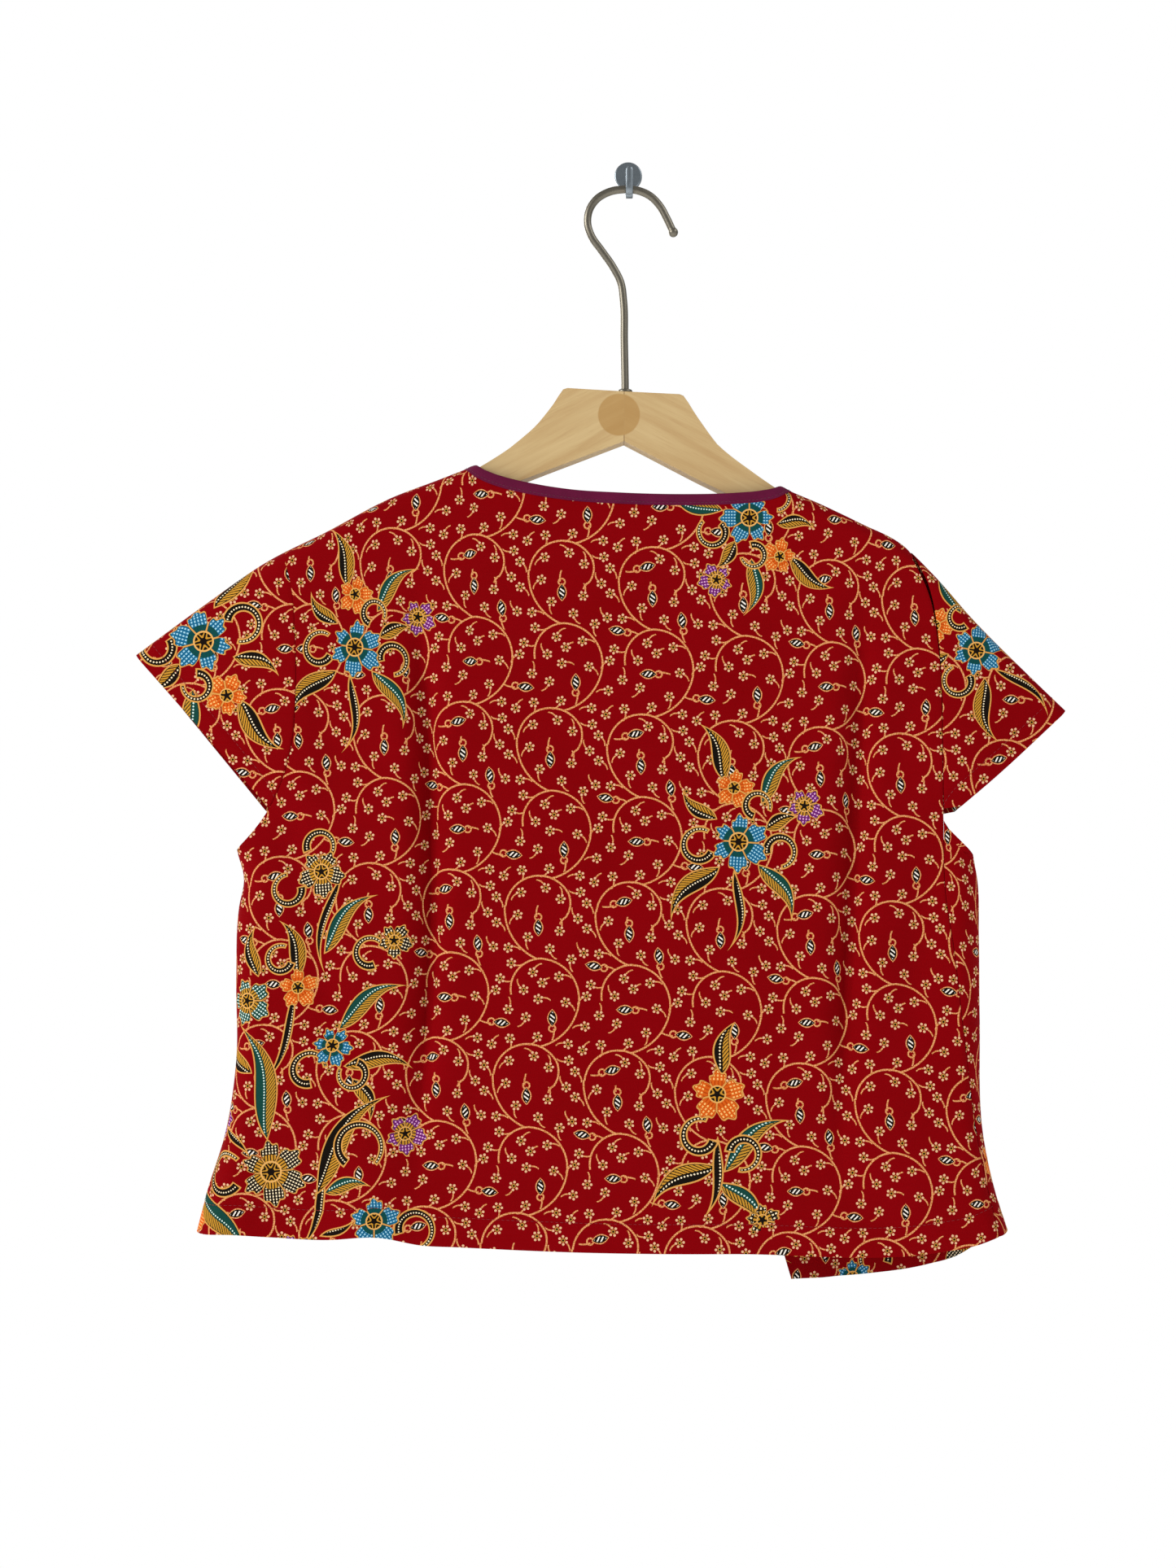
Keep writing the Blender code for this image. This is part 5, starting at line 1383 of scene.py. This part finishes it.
def batik_cotton(name, repeat, spray=None):
    """Printed cotton poplin, plain woven and matt: soft and even, with a fine weave and a faint sheen."""
    made, put = new_material(name)
    place = put("vector SCALE", put("ShaderNodeUVMap", uv_map="print"), named={"Scale": 1.0 / MM})
    colour = put(GROUP, node_tree=repeat, named={"Place": place})
    if spray is not None:
        group, middle, turn, scale, mirrored = spray
        local = put(MAPPING, named={
            "Vector": place, "Location": (*middle, 0.0), "Rotation": (0.0, 0.0, math.radians(turn)),
            "Scale": (scale * mirrored, scale, 1.0)}, vector_type="TEXTURE")
        drawn = put(GROUP, node_tree=group, named={"Place": local}).node.outputs
        colour = put("mix RGBA", drawn["Cover"], colour, drawn["Color"])
    threads = put("vector SCALE", place, named={"Scale": 2.0 * math.pi / THREAD_PITCH})
    axes = put(SEPARATE, threads).node.outputs
    weave = put("math MULTIPLY", put("math SINE", axes["X"]), put("math SINE", axes["Y"]))
    slub = put(NOISE, put("vector MULTIPLY", place, SLUB_STRETCH), named={"Scale": 1.0, "Detail": 3.0})
    height = put("math MULTIPLY_ADD", slub, 1.4, weave)
    bump = put(BUMP, named={"Height": height, "Strength": 0.35, "Distance": 0.00008})
    worn = put(MAP_RANGE, slub, 0.3, 0.7, 0.74, 0.9)
    finish_material(put, Base_Color=colour, Roughness=worn, Normal=bump, Sheen_Weight=0.12,
                    Sheen_Roughness=0.3, Sheen_Tint=linear("D82050"), Specular_IOR_Level=0.03)
    return made


def plum_bias_binding():
    """Plain dyed cotton cut on the bias and folded: threads run slantwise, with soft pressed ripples."""
    made, put = new_material("plum_bias_binding")
    place = put(COORDINATES).node.outputs["Object"]
    slanted = put(MAPPING, named={"Vector": place, "Rotation": (0.0, math.radians(45.0), 0.0),
                                  "Scale": (BIAS_THREADS, BIAS_THREADS, BIAS_THREADS)})
    axes = put(SEPARATE, slanted).node.outputs
    weave = put("math MULTIPLY", put("math SINE", axes["X"]), put("math SINE", axes["Z"]))
    ripple = put(NOISE, place, named={"Scale": 240.0, "Detail": 2.0})
    height = put("math MULTIPLY_ADD", ripple, 3.0, weave)
    bump = put(BUMP, named={"Height": height, "Strength": 0.4, "Distance": 0.0001})
    shade = put(NOISE, place, named={"Scale": 60.0, "Detail": 4.0})
    colour = put("mix RGBA", shade, linear("4E0628"), linear("660D38"))
    finish_material(put, Base_Color=colour, Roughness=0.78, Normal=bump, Sheen_Weight=0.1,
                    Sheen_Roughness=0.5, Sheen_Tint=linear("B04078"), Specular_IOR_Level=0.12)
    return made


def sewing_thread(name, code):
    """Spun polyester thread with a slight gloss, and random paler patches painted on as highlights where it
    catches the light.
    """
    made, put = new_material(name)
    # painted highlight: random patches where the thread's colour is drawn paler, as if it caught the light
    painted_shine = put(NOISE, put(COORDINATES).node.outputs["Object"], named={"Scale": 3000.0, "Detail": 1.0})
    pale = tuple(min(1.0, part * THREAD_SHINE) for part in linear(code)[:3]) + (1.0,)
    finish_material(put, Base_Color=put("mix RGBA", painted_shine, linear(code), pale), Roughness=0.55)
    return made


def beech_wood():
    """Beech, planed and clear lacquered: pale, with fine flecked grain along each arm and a joint between."""
    made, put = new_material("lacquered_beech")
    place = put(COORDINATES).node.outputs["Object"]
    axes = put(SEPARATE, put("vector SCALE", place, named={"Scale": 1.0 / MM})).node.outputs
    joint_x = HANGER_APEX[0]
    aside = put("math ABSOLUTE", put("math SUBTRACT", axes["X"], joint_x))
    side = put("math GREATER_THAN", axes["X"], joint_x)
    depth = put("math MULTIPLY_ADD", side, ARM_APART, axes["Y"])
    arm = put(COMBINE, aside, depth, axes["Z"])
    along_arm = put(MAPPING, named={"Vector": arm, "Rotation": (0.0, math.radians(ARM_SLOPE), 0.0)},
                    vector_type="TEXTURE")
    grain_way = put("vector MULTIPLY", along_arm, GRAIN_STRETCH)
    rings = put(NOISE, grain_way, named={"Scale": 1.0, "Detail": 4.0, "Distortion": 0.35})
    fleck = put(NOISE, put("vector MULTIPLY", grain_way, FLECK_STRETCH), named={"Scale": 1.0, "Detail": 2.0})
    cloudy = put(RAMP, rings)
    for stop, (share, code) in zip(cloudy.node.color_ramp.elements, BEECH):
        stop.position, stop.color = share, linear(code)
    joint = put("math LESS_THAN", aside, JOINT_HALF)
    flat_place = put(COMBINE, axes["X"], 0.0, axes["Z"])
    from_disc = put("vector DISTANCE", flat_place, (DISC_AT[0], 0.0, -DISC_AT[1]))
    on_front = put("math LESS_THAN", axes["Y"], MID_Y - HANGER_THICK / 2.0 + DISC_DEPTH)
    disc = put(MAP_RANGE, from_disc, DISC_RADIUS + DISC_BLUR, DISC_RADIUS - DISC_BLUR, 0.0, 1.0)
    stain = put("mix RGBA", rings, *map(linear, DISC_STAIN))
    colour = paint_over(put, cloudy, [
        (put(MAP_RANGE, fleck, 0.56, 0.72, 0.0, 0.22), "A27846"),
        (put("math MULTIPLY", joint, 0.75), "7A5630"), (put("math MULTIPLY", disc, on_front), stain)])
    height = put("math MULTIPLY_ADD", fleck, 0.4, put("math MULTIPLY", joint, -2.0))
    bump = put(BUMP, named={"Height": height, "Strength": 0.3, "Distance": 0.0001})
    worn = put(MAP_RANGE, rings, 0.3, 0.7, 0.38, 0.5)
    finish_material(put, Base_Color=colour, Roughness=worn, Normal=bump, Coat_Weight=0.12,
                    Coat_Roughness=0.25)
    return made


def brushed_metal(name, code, pale_code, roughness, stretch):
    """Brushed and plated metal: streaks along the work, which spread its reflections."""
    made, put = new_material(name)
    place = put(COORDINATES).node.outputs["Object"]
    streaks = put(NOISE, put("vector MULTIPLY", place, stretch), named={"Scale": 1.0, "Detail": 3.0})
    worn = put(MAP_RANGE, streaks, 0.3, 0.7, roughness - 0.04, roughness + 0.05)
    bump = put(BUMP, named={"Height": streaks, "Strength": 0.03, "Distance": 0.00002})
    finish_material(put, Base_Color=put("mix RGBA", streaks, linear(code), linear(pale_code)),
                    Metallic=1.0, Roughness=worn, Normal=bump)
    return made


def print_looks(piece, repeat, sprays):
    """Materials of one piece of cloth, and the choice of each face's material by its place on the print."""
    rows = [row for row in BOUQUETS if row[2] == piece]
    looks = [batik_cotton("batik_cotton", repeat)]
    for name, kind, _, middle, turn, scale, mirrored, _ in rows:
        looks.append(batik_cotton("batik_cotton_" + name, repeat,
                                  (sprays[kind], middle, turn, scale, mirrored)))

    def choose(middles):
        chosen = np.zeros(len(middles), dtype=np.int32)
        for number, row in enumerate(rows):
            away = np.hypot(middles[:, 0] - row[3][0], middles[:, 1] - row[3][1])
            chosen[away < row[7]] = number + 1
        return chosen

    return looks, choose

def stitch_tree(look):
    """Geometry Nodes: a row of plump stitches along a line of points."""
    tree, put, given = new_group(
        "stitch_row", "GeometryNodeTree",
        {"Line": "Geometry", "Pitch": "Float", "Length": "Float", "Thread": "Float"},
        {"Stitches": "Geometry"})
    path = put("GeometryNodeMeshToCurve", given["Line"])
    spaced = put("GeometryNodeResampleCurve", named={"Curve": path, "Length": given["Pitch"]}, mode="LENGTH")
    ball = put("GeometryNodeMeshUVSphere", 8, 6, 1.0)
    half, thick = (put("math MULTIPLY", given[size], 0.5) for size in ("Length", "Thread"))
    shaped = put("GeometryNodeTransform", named={"Geometry": ball, "Scale": put(COMBINE, thick, thick, half)})
    turn = put("FunctionNodeAlignRotationToVector", named={"Vector": put("GeometryNodeInputTangent")},
               axis="Z")
    placed = put("GeometryNodeInstanceOnPoints",
                 named={"Points": spaced, "Instance": shaped, "Rotation": turn})
    real = put("GeometryNodeRealizeInstances", placed)
    put("NodeGroupOutput", put("GeometryNodeSetMaterial", named={"Geometry": real, "Material": look}))
    return tree


def stitching(name, lines, look, pitch, length):
    """Stitches along lines of points, turned into one plain mesh."""
    vertices, edges = [], []
    for row in lines:
        start = len(vertices)
        vertices += [tuple(float(value) * MM for value in point) for point in row]
        edges += [(start + step, start + step + 1) for step in range(len(row) - 1)]
    mesh = bpy.data.meshes.new(name + "_line")
    mesh.from_pydata(vertices, edges, [])
    holder = put_in_scene(name + "_line", mesh)
    modifier = holder.modifiers.new("Stitches", "NODES")
    modifier.node_group = stitch_tree(look)
    values = {"Pitch": pitch * MM, "Length": length * MM, "Thread": THREAD * MM}
    for item in modifier.node_group.interface.items_tree:
        if item.item_type == "SOCKET" and item.in_out == "INPUT" and item.name in values:
            modifier[item.identifier] = values[item.name]
    graph = bpy.context.evaluated_depsgraph_get()
    made = bpy.data.meshes.new_from_object(holder.evaluated_get(graph), depsgraph=graph)
    made.name = name
    made.shade_smooth()
    bpy.data.objects.remove(holder)
    return put_in_scene(name, made)


def row_between(grid, normals, heights, wanted):
    """Points a little outside a grid where its columns reach the wanted height along them."""
    rows = []
    for column in range(grid.shape[1]):
        known = heights[:, column]
        good = ~np.isnan(known) & ~np.isnan(grid[:, column, 0])
        if not good.any() or known[good].max() < wanted or known[good].min() > wanted:
            continue
        order = np.argsort(known[good])
        place, out = ([np.interp(wanted, known[good][order], values[good, column, axis][order])
                       for axis in range(3)] for values in (grid, normals))
        rows.append([value + THREAD_PROUD * way for value, way in zip(place, out)])
    return rows


def area_light(name, place, size, power, colour):
    """Soft square light, aimed at the garment."""
    lamp = bpy.data.lights.new(name, "AREA")
    lamp.shape = "SQUARE"
    lamp.size = size
    lamp.energy = power
    lamp.color = colour
    placed = put_in_scene(name, lamp)
    placed.location = place
    placed.rotation_euler = (Vector(LIGHTS_AIM) - Vector(place)).to_track_quat("-Z", "Y").to_euler()


def set_studio():
    """White surroundings and a pale floor, with soft light from the upper left, above and behind."""
    paper, put = new_material("matt_studio_paint")
    finish_material(put, Base_Color=linear("FDFDFD"), Roughness=0.9,
                    Emission_Color=(1.0, 1.0, 1.0, 1.0), Emission_Strength=0.4)
    (left, near_side, height), (right, far_side, _) = STUDIO_FLOOR
    corners = [(left, near_side), (right, near_side), (right, far_side), (left, far_side)]
    floor = make_object("studio_floor", [(*corner, height) for corner in corners], [[0, 1, 2, 3]], [paper],
                        smooth=False)
    world = bpy.data.worlds.new("studio_air")
    bpy.context.scene.world = world
    world.use_nodes = True
    # the surroundings are plain white to look at, and light the room more softly than that
    seen = add(world.node_tree, "ShaderNodeLightPath").node.outputs["Is Camera Ray"]
    strength = add(world.node_tree, MAP_RANGE, seen, 0.0, 1.0, AIR_LIGHT, 1.0)
    backdrop = world.node_tree.nodes["Background"]
    backdrop.inputs["Color"].default_value = (1.0, 1.0, 1.0, 1.0)
    world.node_tree.links.new(strength, backdrop.inputs["Strength"])
    for light in STUDIO_LIGHTS:
        area_light(*light)
    bpy.context.scene.view_settings.view_transform = "Standard"


def declare_cloth(piece):
    """Read a cloth piece's print map into an array, which nothing uses."""
    mesh = piece.data
    flat = np.zeros(2 * len(mesh.loops))
    mesh.uv_layers["print"].data.foreach_get("uv", flat)


def build():
    """The whole scene: camera, studio, cloth, stitches and hardware."""
    set_camera()
    set_studio()
    repeat = vine_repeat()
    sprays = {name: bouquet_group(name.lower() + "_bouquet", rows) for name, rows in
              (("SPRAY", SPRAY), ("SPRIG", SPRIG), ("BORDER", BORDER))}
    bias = plum_bias_binding()
    wood = beech_wood()
    nickel = brushed_metal("satin_nickel_wire", "6E695E", "7C776B", 0.4, (300.0, 300.0, 2000.0))
    steel = brushed_metal("brushed_steel_hook", "788188", "8A9399", 0.33, (2000.0, 300.0, 300.0))
    red_thread = sewing_thread("red_sewing_thread", "7A0814")
    plum_thread = sewing_thread("plum_sewing_thread", "4E1029")

    back = back_net()
    over = front_over_net()
    under, seam_rows = front_under_net()
    back_cloth, back_grids = panel_object(
        "back_cloth", -1, back, *print_looks("back", repeat, sprays))
    over_cloth, over_grids = panel_object(
        "over_front_cloth", 1, over, *print_looks("over", repeat, sprays))
    under_cloth, under_grids = front_under_object(
        under, seam_rows, *print_looks("under", repeat, sprays))
    left, left_grids = sleeve_object(
        "left_sleeve_cloth", (ARMHOLE_LEFT, ARMHOLE_LEFT), (CUFF_LEFT_BACK, CUFF_LEFT_FRONT),
        -1.0, *print_looks("left sleeve", repeat, sprays))
    right, right_grids = sleeve_object(
        "right_sleeve_cloth", (BACK_EDGE_RIGHT, ARMHOLE_RIGHT), (CUFF_RIGHT_BACK, CUFF_RIGHT_FRONT),
        1.0, *print_looks("right sleeve", repeat, sprays))
    back_band, back_row = band_object("back_neck_binding", BAND_BACK, NECK_LEFT, NECK_RIGHT, -1, bias)
    over_band, over_row = band_object("over_neck_binding", BAND_OVER, NECK_LEFT, BAND_OVER[-1][0], 1, bias)
    under_band, under_row = band_object("under_neck_binding", BAND_UNDER, BAND_UNDER_FROM, NECK_RIGHT, 1,
                                        bias, under=True)
    hem_lines = []
    for (_, drop), grids in ((back, back_grids), (over, over_grids), (under, under_grids)):
        points, normals = (grid[:, :drop.shape[1]] for grid in grids)
        hem_lines.append(row_between(points, normals, drop[0] - drop, HEM_FOLD))
    for points, normals, from_cuff, _ in (left_grids, right_grids):
        hem_lines.append(row_between(points.transpose(1, 0, 2), normals.transpose(1, 0, 2), from_cuff.T,
                                     CUFF_FOLD))
    hem_stitches = stitching("hem_stitching", hem_lines, red_thread, *HEM_STITCH)
    neck_stitches = stitching("neck_stitching", [back_row, over_row, under_row], plum_thread, *NECK_STITCH)
    hanger = hanger_object(wood)
    wire = wire_object(nickel)
    plate = plate_object(steel)
    strip = strip_object(steel)

    covers = {
        back_cloth: ("back",), over_cloth: ("front_over",), under_cloth: ("front_under",),
        left: ("sleeve_left",), right: ("sleeve_right",), back_band: ("binding_back",),
        over_band: ("binding_over",), under_band: ("binding_under",), hanger: ("hanger",),
        wire: ("hanger_hook",), plate: ("wall_hook",), strip: ("wall_hook",),
    }
    for piece, nodes in covers.items():
        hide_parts(*nodes)
    for piece in list(covers) + [hem_stitches, neck_stitches]:
        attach(piece, "root")
    declare_cloth(back_cloth)
    declare_cloth(over_cloth)
    declare_cloth(under_cloth)
    declare_cloth(left)
    declare_cloth(right)


build()
